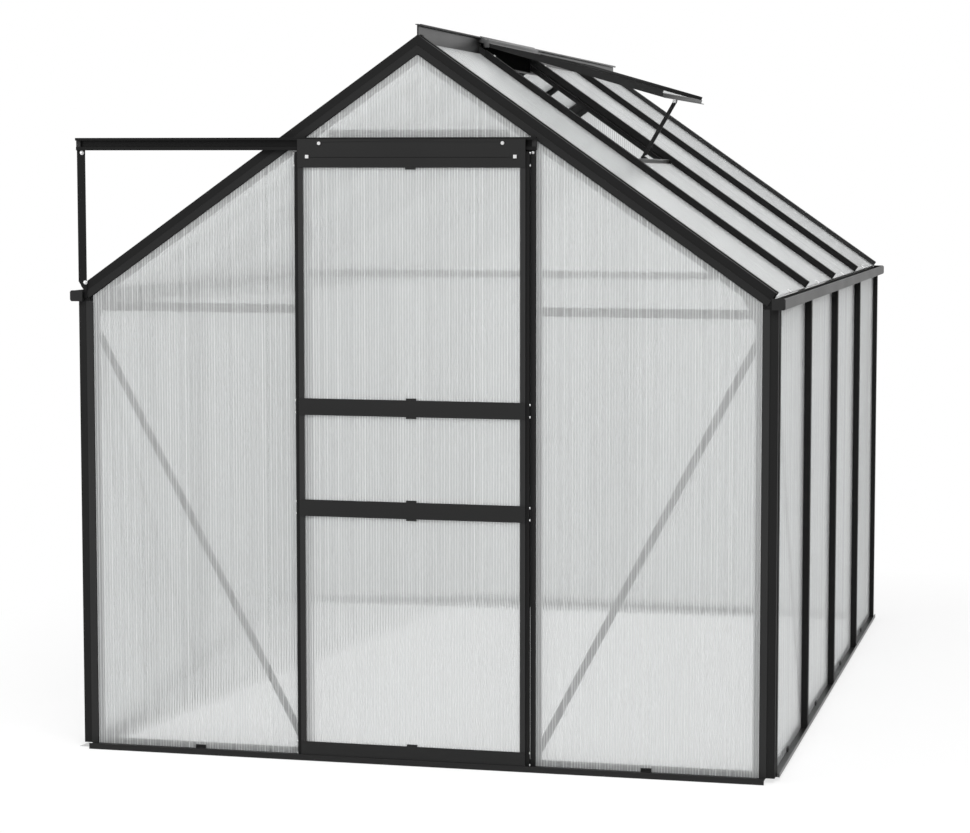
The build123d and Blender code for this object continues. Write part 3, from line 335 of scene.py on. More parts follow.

# %% [markdown]
# ## Painted shade on stepped sections
# The corner section and the door's stiles are stepped: a band along the outer edge lies a little deeper
# than the band beside the glazing, and its darker grey is painted shade. Painting it on by hand would
# not follow a change of size, so each coat finds its band by how far a point lies inside the outer faces
# of the frame.

# %% Find the bands of painted shade
SLOPE = radians(35)
POST_SHADE_BAND = 0.0237
STILE_SHADE_BAND = 0.0102
post_low, post_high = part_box("front_right_post")
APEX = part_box("front_right_rafter")[1][2]
door_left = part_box("door_left_stile")[0][0]
door_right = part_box("door_right_stile")[1][0]


def post_band(finish):
    x = finish.xyz()[0]
    return (post_high[0] - x.shaped("ABSOLUTE")).shaped("LESS_THAN", POST_SHADE_BAND)


def rafter_band(finish):
    x, _, z = finish.xyz()
    under_roof = (APEX - z) * cos(SLOPE) - x.shaped("ABSOLUTE") * sin(SLOPE)
    return under_roof.shaped("LESS_THAN", POST_SHADE_BAND)


def stile_band(finish):
    x = finish.xyz()[0]
    from_middle = (x - (door_left + door_right) / 2).shaped("ABSOLUTE")
    return from_middle.shaped("GREATER_THAN", (door_right - door_left) / 2 - STILE_SHADE_BAND)


# The darker band level of each coat is painted shade along the deeper outer band.
post_coat = powder_coat(
    "post_black_coat", level=0.023, gloss=0.50, mirror=0.06, shade_band=post_band, shade_level=0.012)
rafter_coat = powder_coat(
    "rafter_black_coat", level=0.015, gloss=0.50, mirror=0.06, shade_band=rafter_band, shade_level=0.010)
stile_coat = powder_coat(
    "stile_black_coat", level=0.023, gloss=0.45, mirror=0.08, shade_band=stile_band, shade_level=0.008)
print("bands of", POST_SHADE_BAND, "and", STILE_SHADE_BAND, "m")

# %% [markdown]
# ## A finish for every CAD node
# The record gives each node a material slot, and most nodes simply take their slot's finish. Some
# sections are duller, glossier or paler than the rest, so these are named one by one. The paler hinge
# strip and vent sill are painted sheen.

# %% Give each CAD node its finish
slot_finish = {
    "coated_frame": coat,
    "panel": fluted,
    "black_plastic": plastic,
    "nylon": nylon,
    "bright_steel": steel,
}
node_finish = {
    "door_track": track_coat,
    "track_strut": track_coat,
    "ridge_bar": sheen_coat,
    "left_sill": sheen_coat,
    "right_sill": sheen_coat,
    # The hinge strip and the vent's sill take the coat with painted sheen.
    "vent_hinge_rail": painted_sheen_coat,
    "vent_sill": painted_sheen_coat,
    "rafter_end_plugs": matt_coat,
    "wall_bar_covers": matt_coat,
    "roof_bar_covers": matt_coat,
}
for side in ("left", "right"):
    node_finish[f"door_{side}_stile"] = stile_coat
    node_finish[f"front_{side}_rafter"] = rafter_coat
    node_finish[f"rear_{side}_rafter"] = sheen_coat
    for end in ("front", "rear"):
        node_finish[f"{end}_{side}_post"] = post_coat
for part in frame["record"]["subparts"]:
    node = nodes[part["node"]]
    node.data.materials.clear()
    node.data.materials.append(node_finish.get(part["node"], slot_finish[part["material_slot"]]))
print("finishes given to", len(nodes), "nodes,", len(node_finish), "of them their own")

# %% [markdown]
# ## Hand tools
# Modelling by hand is a round of selecting, moving and applying. These few helpers do what a modeller's
# fingers do: pick points by where they lie, stand a flat piece in its place, cut it with a plane, copy it,
# and hand the finished piece over to the body that carries it.


# %% Tools for selecting and copying
def deselect():
    if bpy.context.object and bpy.context.object.mode != "OBJECT":
        bpy.ops.object.mode_set(mode="OBJECT")
    bpy.ops.object.select_all(action="DESELECT")


def only(piece):
    deselect()
    piece.select_set(True)
    bpy.context.view_layer.objects.active = piece


def edit_all():
    """Open edit mode on the active piece, with all of it selected."""
    bpy.ops.object.mode_set(mode="EDIT")
    bpy.ops.mesh.select_all(action="SELECT")


def pick(piece, wanted):
    """Select the points that pass a test, and open edit mode on them."""
    bpy.ops.object.mode_set(mode="EDIT")
    bpy.ops.mesh.select_mode(type="VERT")
    bpy.ops.mesh.select_all(action="DESELECT")
    bpy.ops.object.mode_set(mode="OBJECT")
    for point in piece.data.vertices:
        point.select = wanted(point.co)
    bpy.ops.object.mode_set(mode="EDIT")


def own_copy(piece):
    """A copy of a piece, with its own mesh."""
    copy = piece.copy()
    copy.data = copy.data.copy()
    scene.collection.objects.link(copy)
    return copy


print("pieces can be picked and copied")

# %% Tools for placing, cutting and handing over
SMOOTH_ANGLE = radians(40)


def stand(piece, corner, across, along):
    """Stand a flat piece in its place: its x goes across, its y goes along."""
    turn = Matrix((across, along, across.cross(along))).transposed().to_4x4()
    piece.matrix_world = Matrix.Translation(corner) @ turn
    only(piece)
    bpy.ops.object.transform_apply(location=True, rotation=True, scale=True)


def cut(piece, point, outwards):
    """Cut a piece with a plane, drop what lies outwards and close the cut."""
    only(piece)
    edit_all()
    bpy.ops.mesh.bisect(plane_co=point, plane_no=outwards, use_fill=True, clear_outer=True)
    bpy.ops.object.mode_set(mode="OBJECT")


def closed(piece, name, finish):
    """Leave edit mode with all faces pointing outwards, and give the name and the finish."""
    edit_all()
    bpy.ops.mesh.normals_make_consistent(inside=False)
    bpy.ops.object.mode_set(mode="OBJECT")
    piece.name = name
    piece.data.materials.clear()
    piece.data.materials.append(finish)
    return piece


def joined(name, pieces, body, node=None):
    """Join pieces into one object that rides a body and, where named, stands for a CAD node."""
    deselect()
    for piece in pieces:
        piece.select_set(True)
    bpy.context.view_layer.objects.active = pieces[0]
    if len(pieces) > 1:
        bpy.ops.object.join()
    whole = bpy.context.object
    whole.name = name
    bpy.ops.object.shade_smooth_by_angle(angle=SMOOTH_ANGLE)
    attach(whole, body)
    if node:
        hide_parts(node)
    print(name, len(whole.data.polygons), "faces")


print("pieces can be placed, cut and handed over")

# %% [markdown]
# ## Modelling the fluted sheets
# A twin-wall sheet could be a flat slab with painted stripes, but then it would not bend light. So a sheet
# starts as a grid with four columns of faces to each cell. Extruding it makes a slab, and moving columns of
# points in from both faces leaves a row of slim lenses. An attribute counts the cells across the sheet, for
# the finish to read.

# %% A fluted sheet lying flat
CELL = 0.0074  # from web to web
SHEET = 0.004  # thickness
DIP = 0.00028  # how far a column beside a cell's middle is drawn in
COLUMNS = 4  # columns of faces in a cell
DIPS = [((1, 3), DIP), ((2,), DIP * 2)]
flat_sheets = {}


def lens_sheet(width, length):
    """A new sheet with one corner at the origin."""
    cells = round(width / CELL)

    def cells_before(co):
        """How many cells lie between the sheet's edge and a point."""
        return co.x / width * cells

    def column(co):
        """The place of a point in its cell, which starts with 0 on a web."""
        return round(cells_before(co) * COLUMNS) % COLUMNS

    columns = cells * COLUMNS
    middle = (width / 2, length / 2, 0)
    deselect()
    bpy.ops.mesh.primitive_grid_add(x_subdivisions=columns, y_subdivisions=1, size=1, location=middle)
    sheet = bpy.context.object
    sheet.scale = (width, length, 1)
    bpy.ops.object.transform_apply(location=True, scale=True)
    edit_all()
    bpy.ops.mesh.extrude_region_move(TRANSFORM_OT_translate={"value": (0, 0, SHEET)})
    for dipped, depth in DIPS:
        for upper, move in ((True, -depth), (False, depth)):
            pick(sheet, lambda co: column(co) in dipped and (co.z > SHEET / 2) == upper)
            bpy.ops.transform.translate(value=(0, 0, move))
    closed(sheet, "flat_sheet", fluted)
    flute = sheet.data.attributes.new("flute", "FLOAT", "POINT")
    flute.data.foreach_set("value", [cells_before(point.co) for point in sheet.data.vertices])
    return sheet


def flat_sheet(width, length):
    """A sheet of this size. Each size is modelled once and copied."""
    size = (round(width, 4), round(length, 4))
    if size not in flat_sheets:
        flat_sheets[size] = lens_sheet(width, length)
    return own_copy(flat_sheets[size])


print("cells of", CELL, "m in a sheet of", SHEET, "m")

# %% [markdown]
# ## Reading the plain panes
# The CAD panels already lie where the glazing goes. A copy of a node is merged and separated into its
# loose panes, and the corners of each pane tell where its fluted sheet belongs. That keeps the sheets in
# step with the frame when a size changes.

# %% Find where the plain panes lie
WELD = 0.00001  # points nearer to each other than this are one


def merged_copy(name):
    """A copy of a CAD node whose loose triangles are joined. It shows, also where the node is replaced."""
    copy = own_copy(nodes[name])
    copy.hide_viewport = False
    copy.hide_render = False
    copy.hide_set(False)
    only(copy)
    edit_all()
    bpy.ops.mesh.remove_doubles(threshold=WELD)
    bpy.ops.object.mode_set(mode="OBJECT")
    return copy


def panes_of(name):
    """The corner points of each separate piece of a CAD node."""
    merged_copy(name)
    bpy.ops.object.mode_set(mode="EDIT")
    bpy.ops.mesh.separate(type="LOOSE")
    bpy.ops.object.mode_set(mode="OBJECT")
    pieces = list(bpy.context.selected_objects)
    panes = [[point.co.copy() for point in piece.data.vertices] for piece in pieces]
    for piece in pieces:
        bpy.data.objects.remove(piece)
    return panes


def fitted_sheet(pane, across, along):
    """A fluted sheet in the place of a plain pane that lies along these two directions."""
    ways = (across, along, across.cross(along))
    lows = [min(point.dot(way) for point in pane) for way in ways]
    highs = [max(point.dot(way) for point in pane) for way in ways]
    sheet = flat_sheet(highs[0] - lows[0], highs[1] - lows[1])
    for count in sheet.data.attributes["flute"].data:
        count.value += round(lows[0] / CELL)
    stand(sheet, sum((way * low for way, low in zip(ways, lows)), Vector()), across, along)
    return sheet


print("the door has", len(panes_of("door_panels")), "panes")

# %% [markdown]
# ## Setting the sheets
# The flutes run up the walls and down the roof, so that water drains out of them. Each row below says which
# way a panel's cells are counted and which way they run. A gable sheet is set square and then cut
# along both roof slopes, at the corners of its pane that reach furthest out.

# %% Sheets of the gables, the door, the walls, the roof and the vent
X, Y, Z = Vector((1, 0, 0)), Vector((0, 1, 0)), Vector((0, 0, 1))
VENT_TILT = SLOPE + radians(joints["vent_hinge"]["range_deg"][0])
SLOPES = {
    "left": (-Y, Vector((cos(SLOPE), 0, sin(SLOPE)))),
    "right": (Y, Vector((-cos(SLOPE), 0, sin(SLOPE)))),
}
roof_out = {side: across.cross(along) for side, (across, along) in SLOPES.items()}
glazing = [
    ("front_side", "frame", X, Z),
    ("front_top", "frame", X, Z),
    ("rear", "frame", X, Z),
    ("door", "door", X, Z),
    ("left_wall", "frame", Y, Z),
    ("right_wall", "frame", Y, Z),
    ("left_roof", "frame", *SLOPES["left"]),
    ("right_roof", "frame", *SLOPES["right"]),
    ("vent", "vent", Y, Vector((-cos(VENT_TILT), 0, sin(VENT_TILT)))),
]
for name, body, across, along in glazing:
    node = next(n for n in (f"{name}_panels", f"{name}_panel") if n in nodes)
    sheets = []
    for pane in panes_of(node):
        sheet = fitted_sheet(pane, across, along)
        if across == X:
            for way in roof_out.values():
                cut(sheet, max(pane, key=way.dot), way)
        sheets.append(sheet)
    joined(f"{name}_sheets", sheets, body, node)
print("sizes of sheet modelled:", len(flat_sheets))
for spare in flat_sheets.values():
    bpy.data.objects.remove(spare)

# %% [markdown]
# ## The vent's side bars
# On the real vent the two side bars are cut down towards the hinge, so that the hinge strip shows over
# them. The CAD bars are straight, so a merged copy of them is cut by one sloping plane and takes their place.

# %% Cut the side bars down towards the hinge
BAR_START, BAR_DROP = 0.016, 0.009
BAR_FULL, BAR_OVER = 0.200, 0.0022
hinge = Vector(joints["vent_hinge"]["pos_m"])
down_vent = Vector((cos(VENT_TILT), 0, -sin(VENT_TILT)))
off_vent = Vector((sin(VENT_TILT), 0, cos(VENT_TILT)))


def on_vent(along, out):
    """A point of the vent's middle plane: so far down from the hinge, and so far out of the sheet."""
    return hinge + down_vent * along + off_vent * out


side_bars = merged_copy("vent_side_bars")
low_end, full_end = on_vent(BAR_START, -BAR_DROP), on_vent(BAR_FULL, BAR_OVER)
cut(side_bars, low_end, Y.cross(low_end - full_end).normalized())
joined("vent_cut_side_bars", [side_bars], "vent", "vent_side_bars")

# %% [markdown]
# ## Bolts and screws
# Each kind is modelled once with its head up: a short cylinder gets its chamfer or its rounding from a bevel,
# and the screw's recess is inset and pushed in.

# %% One hexagon bolt and one pan-head screw
BOLT_RADIUS, BOLT_HEIGHT, BOLT_CHAMFER = 0.0044, 0.0032, 0.00064
WASHER_RADIUS, WASHER_HEIGHT, WASHER_CHAMFER = 0.00572, 0.0009, 0.00027
SCREW_RADIUS, SCREW_HEIGHT, SCREW_ROUND = 0.0036, 0.0022, 0.00132
RECESS_RIM, RECESS_DEPTH = 0.00072, 0.00088


def disc(points, radius, height, base):
    """A flat cylinder standing on a level."""
    deselect()
    place = (0, 0, base + height / 2)
    bpy.ops.mesh.primitive_cylinder_add(vertices=points, radius=radius, depth=height, location=place)
    bpy.ops.object.transform_apply(location=True)
    return bpy.context.object


def pick_top(piece):
    """Select the points of a piece's upper face."""
    bpy.ops.object.mode_set(mode="OBJECT")
    top = max(point.co.z for point in piece.data.vertices)
    pick(piece, lambda co: co.z > top - WELD)


def hexagon_bolt():
    head = disc(6, BOLT_RADIUS, BOLT_HEIGHT, WASHER_HEIGHT)
    pick_top(head)
    bpy.ops.mesh.bevel(offset=BOLT_CHAMFER, segments=2)
    washer = disc(20, WASHER_RADIUS, WASHER_HEIGHT, 0)
    pick_top(washer)
    bpy.ops.mesh.bevel(offset=WASHER_CHAMFER, segments=1)
    bpy.ops.object.mode_set(mode="OBJECT")
    head.select_set(True)
    bpy.ops.object.join()
    return closed(bpy.context.object, "hexagon_bolt", steel)


def pan_screw():
    head = disc(16, SCREW_RADIUS, SCREW_HEIGHT, 0)
    pick_top(head)
    bpy.ops.mesh.bevel(offset=SCREW_ROUND, segments=3)
    pick_top(head)
    bpy.ops.mesh.inset(thickness=RECESS_RIM)
    bpy.ops.mesh.extrude_region_move(TRANSFORM_OT_translate={"value": (0, 0, -RECESS_DEPTH)})
    return closed(head, "pan_screw", steel)


def fixed(kind, spots, across, along):
    """Copies of a small piece at these spots, its x laid across, its y along and its top facing out."""
    copies = []
    for spot in spots:
        copies.append(own_copy(kind))
        stand(copies[-1], spot, across, along)
    return copies


bolt = hexagon_bolt()
screw = pan_screw()
print("bolt", len(bolt.data.polygons), "faces, screw", len(screw.data.polygons), "faces")

# %% [markdown]
# ## Screws in the door's sides
# Two screws through each stile hold the end of every rail. Their heights come from the rails' own boxes, so
# they stay on the rails wherever these lie.

# %% Screws in the sides of the door
SCREW_SPREAD = 0.016
HEADER_AXIS = 0.022
TO_RIGHT, TO_LEFT = (Y, Z), (-Y, Z)


def mid(values):
    """Halfway between the lowest and the highest value."""
    return (min(values) + max(values)) / 2


rail_levels = [mid([point.z for point in rail]) for rail in panes_of("door_mid_rails")]
rail_levels.append(mid([corner[2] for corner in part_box("door_bottom_rail")]))
rail_levels.append(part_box("door_header")[0][2] + HEADER_AXIS)
side_y = mid([corner[1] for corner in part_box("door_right_stile")])
levels = [level + move for level in rail_levels for move in (-SCREW_SPREAD, SCREW_SPREAD)]
stile_screws = fixed(screw, [(door_right, side_y, level) for level in levels], *TO_RIGHT)
stile_screws += fixed(screw, [(door_left, side_y, level) for level in levels], *TO_LEFT)
joined("stile_screws", stile_screws, "door")

# %% [markdown]
# ## Bolts of the track, its strut and the stay
# The track is bolted to both door posts, and at its free end to the strut, whose foot is bolted at the
# eaves. A nut of the same form closes the pin of the vent's stay.

# %% Bolts of the track, its strut and the stay
BOLT_DROP = 0.0062
POST_RIB = 0.309
STRUT_BOLT_ASIDE = 0.003
FOOT_BOLT_ASIDE, FOOT_BOLT_RISE = 0.008, 0.022
SIDES = {"left": -1, "right": 1}
FORWARD = (X, Z)
bolt_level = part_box("door_track")[0][2] - BOLT_DROP
strut_low, strut_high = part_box("track_strut")
strut_x = mid([strut_low[0], strut_high[0]])
strut_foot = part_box("left_gutter")[1][2] + FOOT_BOLT_RISE
frame_bolts = [(side * POST_RIB, post_low[1], bolt_level) for side in SIDES.values()]
frame_bolts.append((strut_x + STRUT_BOLT_ASIDE, strut_low[1], bolt_level))
frame_bolts.append((strut_x + FOOT_BOLT_ASIDE, strut_low[1], strut_foot))
joined("track_bolts", fixed(bolt, frame_bolts, *FORWARD), "frame")
stay_pin = Vector(joints["stay_fold"]["pos_m"])
stay_pin.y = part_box("vent_stay_bracket")[0][1]
joined("stay_pin_nut", fixed(bolt, [stay_pin], *FORWARD), "vent")

# %% [markdown]
# ## Screws of the roof covers
# One screw near the ridge keeps each snap-on cover from sliding down the roof. It sits on the cover's own
# top face, at a set distance down from the ridge.

# %% Screws at the upper ends of the roof covers
COVER_SCREW = 0.054
cover_screws = []
for cover in panes_of("roof_bar_covers"):
    side = "left" if sum(point.x for point in cover) < 0 else "right"
    across, along = SLOPES[side]
    out = roof_out[side]
    spot = Vector((0, mid([point.y for point in cover]), APEX)) - along * COVER_SCREW
    top = max(point.dot(out) for point in cover)
    cover_screws += fixed(screw, [spot + out * (top - spot.dot(out))], across, along)
joined("cover_screws", cover_screws, "frame")

# %% [markdown]
# ## Small plates
# Each starts as a cube at the plate's size, is folded or cut, and gets its edges from a bevel that is
# applied.


# %% A plate to start from
def plate(low, high):
    """A flat plate between two corners, left in object mode."""
    low, high = Vector(low), Vector(high)
    deselect()
    bpy.ops.mesh.primitive_cube_add(size=1, location=(low + high) / 2)
    piece = bpy.context.object
    piece.scale = high - low
    bpy.ops.object.transform_apply(location=True, scale=True)
    return piece


def rounded(piece, width):
    """Round the edges of a plate with a bevel that is applied."""
    only(piece)
    edge = piece.modifiers.new("edge", "BEVEL")
    edge.width = width
    edge.segments = 2
    edge.limit_method = "ANGLE"
    bpy.ops.object.modifier_apply(modifier="edge")
    return piece


print("plates can be laid and rounded")

# %% [markdown]
# ## Clips of the roof sheets
# A small bright clip hooks over the lower end of each roof sheet and keeps it from sliding out. The plate is
# bisected at the fold, and the strip below the sheet's end is extruded downwards.

# %% Clips over the lower ends of the roof sheets
CLIP_HALF, CLIP_LEG, CLIP_GAUGE = 0.013, 0.012, 0.0008
CLIP_EDGE = 0.0002
clip = plate((-CLIP_HALF, -CLIP_GAUGE, 0), (CLIP_HALF, CLIP_LEG, CLIP_GAUGE))
edit_all()
bpy.ops.mesh.bisect(plane_co=(0, 0, 0), plane_no=Y)
pick(clip, lambda co: co.y < CLIP_GAUGE / 2 and co.z < CLIP_GAUGE / 2)
bpy.ops.mesh.extrude_region_move(TRANSFORM_OT_translate={"value": (0, 0, -SHEET)})
clip = rounded(closed(clip, "roof_clip", steel), CLIP_EDGE)
roof_clips = []
for side, (across, along) in SLOPES.items():
    for pane in panes_of(f"{side}_roof_panels"):
        lowest = min(point.dot(along) for point in pane)
        edge = [point for point in pane if point.dot(along) < lowest + SHEET / 4]
        top = max(edge, key=roof_out[side].dot)
        spot = Vector((top.x, mid([point.y for point in edge]), top.z))
        roof_clips += fixed(clip, [spot], across, along)
joined("roof_sheet_clips", roof_clips, "frame")

# %% [markdown]
# ## Stop of the vent
# A bent plate on the ridge keeps the vent from sliding along its hinge. Its outer end hangs a little lower
# and carries a tongue, which is extruded from the underside beyond a bisected line.

# %% Stop at the front end of the vent's hinge
RIDGE_HALF = 0.002  # half of the ridge's web
STOP_GAUGE, STOP_GAP, STOP_EDGE = 0.002, 0.001, 0.0004
STOP_REACH, STOP_DEPTH, STOP_SAG = 0.034, 0.012, 0.004
TONGUE_START, TONGUE_DROP = 0.020, 0.011
vent_front, vent_back = (corner[1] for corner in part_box("vent_hinge_rail"))
stop_back = vent_front - STOP_GAP
stop_low = (RIDGE_HALF, stop_back - STOP_GAUGE, hinge.z - STOP_DEPTH)
stop = plate(stop_low, (STOP_REACH, stop_back, hinge.z))
edit_all()
bpy.ops.mesh.bisect(plane_co=(TONGUE_START, 0, 0), plane_no=X)
pick(stop, lambda co: co.x > TONGUE_START - WELD and co.z < hinge.z - STOP_DEPTH / 2)
bpy.ops.mesh.extrude_region_move(TRANSFORM_OT_translate={"value": (0, 0, -TONGUE_DROP)})
pick(stop, lambda co: co.x > TONGUE_START - WELD)
bpy.ops.transform.translate(value=(0, 0, -STOP_SAG))
# The stop takes the coat with painted sheen.
joined("vent_stop", [rounded(closed(stop, "vent_stop", painted_sheen_coat), STOP_EDGE)], "frame")

# %% [markdown]
# ## Cleat of the left front post
# A bare metal tab shows beside the foot of the left front post. It is one plate whose outer upper corner is
# pulled in and down.

# %% Cleat at the foot of the left front post
CLEAT_GAUGE, CLEAT_EDGE = 0.0016, 0.0003
CLEAT_OUT, CLEAT_IN = 0.013, 0.016
CLEAT_FOOT, CLEAT_TOP = 0.0005, 0.0125
CLEAT_TAPER = (0.004, 0, -0.010)
post_left = -post_high[0]
cleat_low = (post_left - CLEAT_OUT, post_low[1] - CLEAT_GAUGE, CLEAT_FOOT)
cleat = plate(cleat_low, (post_left + CLEAT_IN, post_low[1], CLEAT_TOP))
pick(cleat, lambda co: co.x < post_left and co.z > CLEAT_TOP / 2)
bpy.ops.transform.translate(value=CLEAT_TAPER)
joined("foot_cleat", [rounded(closed(cleat, "foot_cleat", bare_metal), CLEAT_EDGE)], "frame")

# %% [markdown]
# ## Gussets at the eaves
# Behind the gable panels a flat gusset stiffens each corner, where post, rafter and cross bar meet. It shows
# as a dark corner with a leaning free edge. One plate would run into the cross bar, so each gusset is
# made in two, above and below the bar. One plane cuts the leaning edge of both, and a second trims the
# upper plate under the rafter.

# %% Gusset plates at the eaves, behind the panels of both gables
GUSSET_GAUGE, GUSSET_GAP, GUSSET_ROUND = 0.002, 0.0003, 0.0003
GUSSET_REACH, GUSSET_EDGE = 0.003, 0.023
GUSSET_LEAN = 0.482  # how far the free edge leans inwards for each metre up
GUSSET_FOOT, GUSSET_RISE, GUSSET_SPAN = 0.047, 0.080, 0.090
RAFTER_DEPTH = 0.043
bar_low, bar_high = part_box("gable_cross_bars")
lower_part = (bar_low[2] - GUSSET_FOOT, bar_low[2] - GUSSET_GAP)
upper_part = (bar_high[2] + GUSSET_GAP, bar_high[2] + GUSSET_RISE)
gussets = []
for face, inwards in ((bar_low[1], 1), (bar_high[1], -1)):
    near, far = sorted((face, face + inwards * GUSSET_GAUGE))
    for side, sign in SIDES.items():
        left, right = sorted(sign * (bar_high[0] + reach) for reach in (-GUSSET_SPAN, GUSSET_REACH))
        edge_point = (sign * (bar_high[0] - GUSSET_EDGE), 0, bar_low[2])
        under_rafter = Z * APEX - roof_out[side] * RAFTER_DEPTH
        for foot, head in (lower_part, upper_part):
            gusset = plate((left, near, foot), (right, far, head))
            cut(gusset, edge_point, Vector((-sign, 0, -GUSSET_LEAN)).normalized())
            if head > bar_high[2]:
                cut(gusset, under_rafter, roof_out[side])
            gussets.append(rounded(closed(gusset, "gusset", matt_coat), GUSSET_ROUND))
joined("eaves_gussets", gussets, "frame")

# %% [markdown]
# ## Plugs of the ridge
# A small plastic plug fills the notch between the ridge's web and the gable rafters at either end. It is a
# plate whose lower edge is drawn in to half its width.

# %% Plugs between the ridge and the gable rafters
PLUG_START, PLUG_END, PLUG_DEPTH = 0.0425, 0.0618, 0.0205
PLUG_TAPER, PLUG_EDGE = 0.5, 0.0004
rear_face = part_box("rear_right_post")[1][1]
ridge_plugs = []
for face, inwards in ((post_low[1], 1), (rear_face, -1)):
    start, end = sorted(face + inwards * depth for depth in (PLUG_START, PLUG_END))
    plug = plate((-RIDGE_HALF, start, APEX - PLUG_DEPTH), (RIDGE_HALF, end, APEX))
    pick(plug, lambda co: co.z < APEX - PLUG_DEPTH / 2)
    bpy.ops.transform.resize(value=(PLUG_TAPER, 1, 1))
    ridge_plugs.append(rounded(closed(plug, "ridge_plug", plastic), PLUG_EDGE))
joined("ridge_end_plugs", ridge_plugs, "frame")

# %% [markdown]
# ## Painted shade under the vent
# A flat black strip without gloss lies along the ridge's web below the vent's hinge. It is painted shade
# where the vent shades the web, and makes the gap there look deep. Its outer face is bevelled, as an
# extruded strip's is.

# %% Dark strip of painted shade on the ridge under the vent
SHADE_STRIP_GAUGE, SHADE_STRIP_INSET, SHADE_STRIP_BEVEL = 0.0014, 0.030, 0.00056
SHADE_STRIP_FOOT, SHADE_STRIP_DROP = 0.003, 0.007
shade_strip_low = (RIDGE_HALF, vent_front + SHADE_STRIP_INSET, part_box("ridge_bar")[0][2] + SHADE_STRIP_FOOT)
shade_strip = plate(shade_strip_low, (RIDGE_HALF + SHADE_STRIP_GAUGE, vent_back - SHADE_STRIP_INSET, hinge.z - SHADE_STRIP_DROP))
pick(shade_strip, lambda co: co.x > RIDGE_HALF + SHADE_STRIP_GAUGE / 2)
bpy.ops.mesh.bevel(offset=SHADE_STRIP_BEVEL, segments=2)
joined("vent_shade_strip", [closed(shade_strip, "vent_shade_strip", shade_black)], "frame")
for spare in (bolt, screw, clip):
    bpy.data.objects.remove(spare)

# %% [markdown]
# ## Softened edges
# Extruded metal has small radii along its edges, and they catch thin lines of light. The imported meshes
# are loose triangles, so each is welded first and then bevelled, by modifiers that leave CAD unchanged.

# %% Weld and bevel
NODE_EDGE = 0.0004
shown = [node for node in nodes.values() if not node.hide_render]
for node in shown:
    weld = node.modifiers.new("weld", "WELD")
    weld.merge_threshold = WELD
    edge = node.modifiers.new("edge", "BEVEL")
    edge.width = NODE_EDGE
    edge.segments = 2
    edge.limit_method = "ANGLE"
    edge.angle_limit = SMOOTH_ANGLE
    edge.harden_normals = True
print("edges softened on", len(shown), "nodes")

# %% [markdown]
# ## Floor
# The greenhouse stands on an endless pale floor that fades to white and keeps only a soft shadow. More
# light would bleach the object too, so the floor shows plain white to the eye instead, in a share that grows
# with the distance from the object. The light that it sends back stays that of a matt pale floor.

# %% A floor that keeps the shadow
FLOOR_SIZE, FLOOR_DROP = 60, 0.0005
FLOOR_GREY = 0.9
WHITE_NEAR, WHITE_GROWTH = 0.72, 0.25
deselect()
bpy.ops.mesh.primitive_plane_add(size=FLOOR_SIZE, location=(0, 0, -FLOOR_DROP))
floor = bpy.context.object
floor.name = "studio_floor"
pale = Finish(bpy.data.materials.new("pale_floor"))
x, y, _ = pale.xyz()
aside = (x.shaped("ABSOLUTE") - cad_box[1][0]).shaped("MAXIMUM", 0.0)
beyond = (y.shaped("ABSOLUTE") - cad_box[1][1]).shaped("MAXIMUM", 0.0)
away = (aside * aside + beyond * beyond).shaped("SQRT")
white_share = pale.seen_by_eye() * (away * WHITE_GROWTH + WHITE_NEAR).shaped("MINIMUM", 1.0)
matt = pale.add("BsdfDiffuse", {}, {"Color": grey(FLOOR_GREY)})
white = pale.add("Emission", {}, {"Color": grey(1.0), "Strength": 1.0})
floor.data.materials.append(pale.surface(pale.either(white_share, matt, white)))
print("floor of", FLOOR_SIZE, "m")

# %% [markdown]
# ## Sky and lamps
# Soft light comes from all round, as in a white tent. The eye sees the tent as plain white, while the
# object is lit by a dimmer one. Two large lamps, a key from the front right and a fill from the left, give
# the frame its gentle shading.

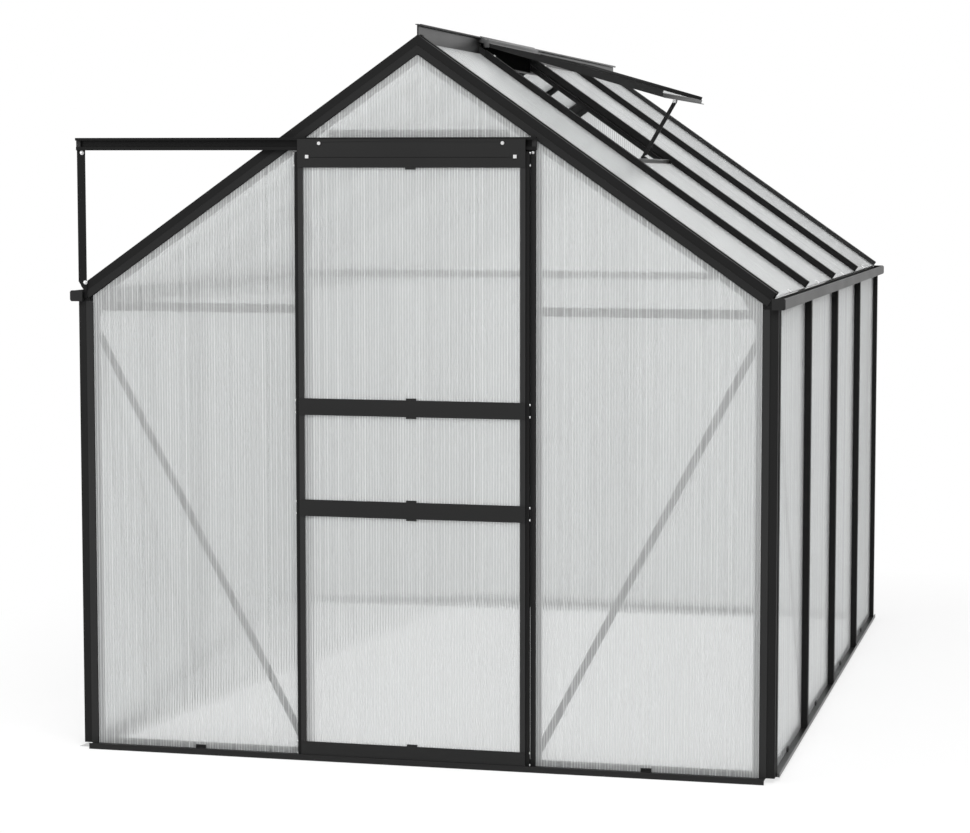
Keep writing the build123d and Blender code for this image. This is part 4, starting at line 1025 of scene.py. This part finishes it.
# %% White sky and two soft lamps
SKY_LIGHT = 0.63
LAMP_SIZE = 4.0
LAMP_AIM = Vector((0, 0, 0.9))
KEY_PLACE, KEY_WATTS = Vector((2.4, -5.4, 6.2)), 420
FILL_PLACE, FILL_WATTS = Vector((-5.0, -5.0, 3.5)), 145
sky = Finish(bpy.data.worlds.new("studio"))
dim = sky.add("Background", {}, {"Color": grey(1.0), "Strength": SKY_LIGHT})
bright = sky.add("Background", {}, {"Color": grey(1.0), "Strength": 1.0})
scene.world = sky.surface(sky.either(sky.seen_by_eye(), dim, bright))


def soft_lamp(name, place, watts):
    data = bpy.data.lights.new(name, "AREA")
    data.energy = watts
    data.size = LAMP_SIZE
    lamp = bpy.data.objects.new(name, data)
    scene.collection.objects.link(lamp)
    lamp.location = place
    lamp.rotation_euler = (LAMP_AIM - place).to_track_quat("-Z", "Y").to_euler()


soft_lamp("key", KEY_PLACE, KEY_WATTS)
soft_lamp("fill", FILL_PLACE, FILL_WATTS)
print("sky at", SKY_LIGHT, "and lamps of", KEY_WATTS, "and", FILL_WATTS, "W")

# %% [markdown]
# ## Camera
# The camera stands to the right of the door at head height, with a long lens. Its place and angles were
# found by fitting the lines of the frame. The photograph is a crop, so the lens is shifted a little to put
# its axis where it was. Focal length and axis are in pixels of the photograph.

# %% Camera at the photograph's place
IMAGE = (970, 833)
FOCAL = 2558.4
CENTRE = (550.8, 393.1)
EYE_PLACE = (1.8200, -7.6879, 1.5456)
EYE_TURN, EYE_DOWN, EYE_ROLL = radians(12.845), radians(4.797), radians(0.092)
eye = bpy.data.cameras.new("camera")
eye.sensor_width = 36.0
eye.lens = FOCAL * eye.sensor_width / IMAGE[0]
eye.shift_x = (IMAGE[0] / 2 - CENTRE[0]) / IMAGE[0]
eye.shift_y = (CENTRE[1] - IMAGE[1] / 2) / IMAGE[0]
camera = bpy.data.objects.new("camera", eye)
scene.collection.objects.link(camera)
camera.location = EYE_PLACE
aim = Euler((radians(90) - EYE_DOWN, 0, EYE_TURN)).to_matrix().to_4x4()
camera.rotation_euler = (aim @ Matrix.Rotation(EYE_ROLL, 4, "Z")).to_euler()
scene.camera = camera
print("lens of", round(eye.lens, 1), "mm")
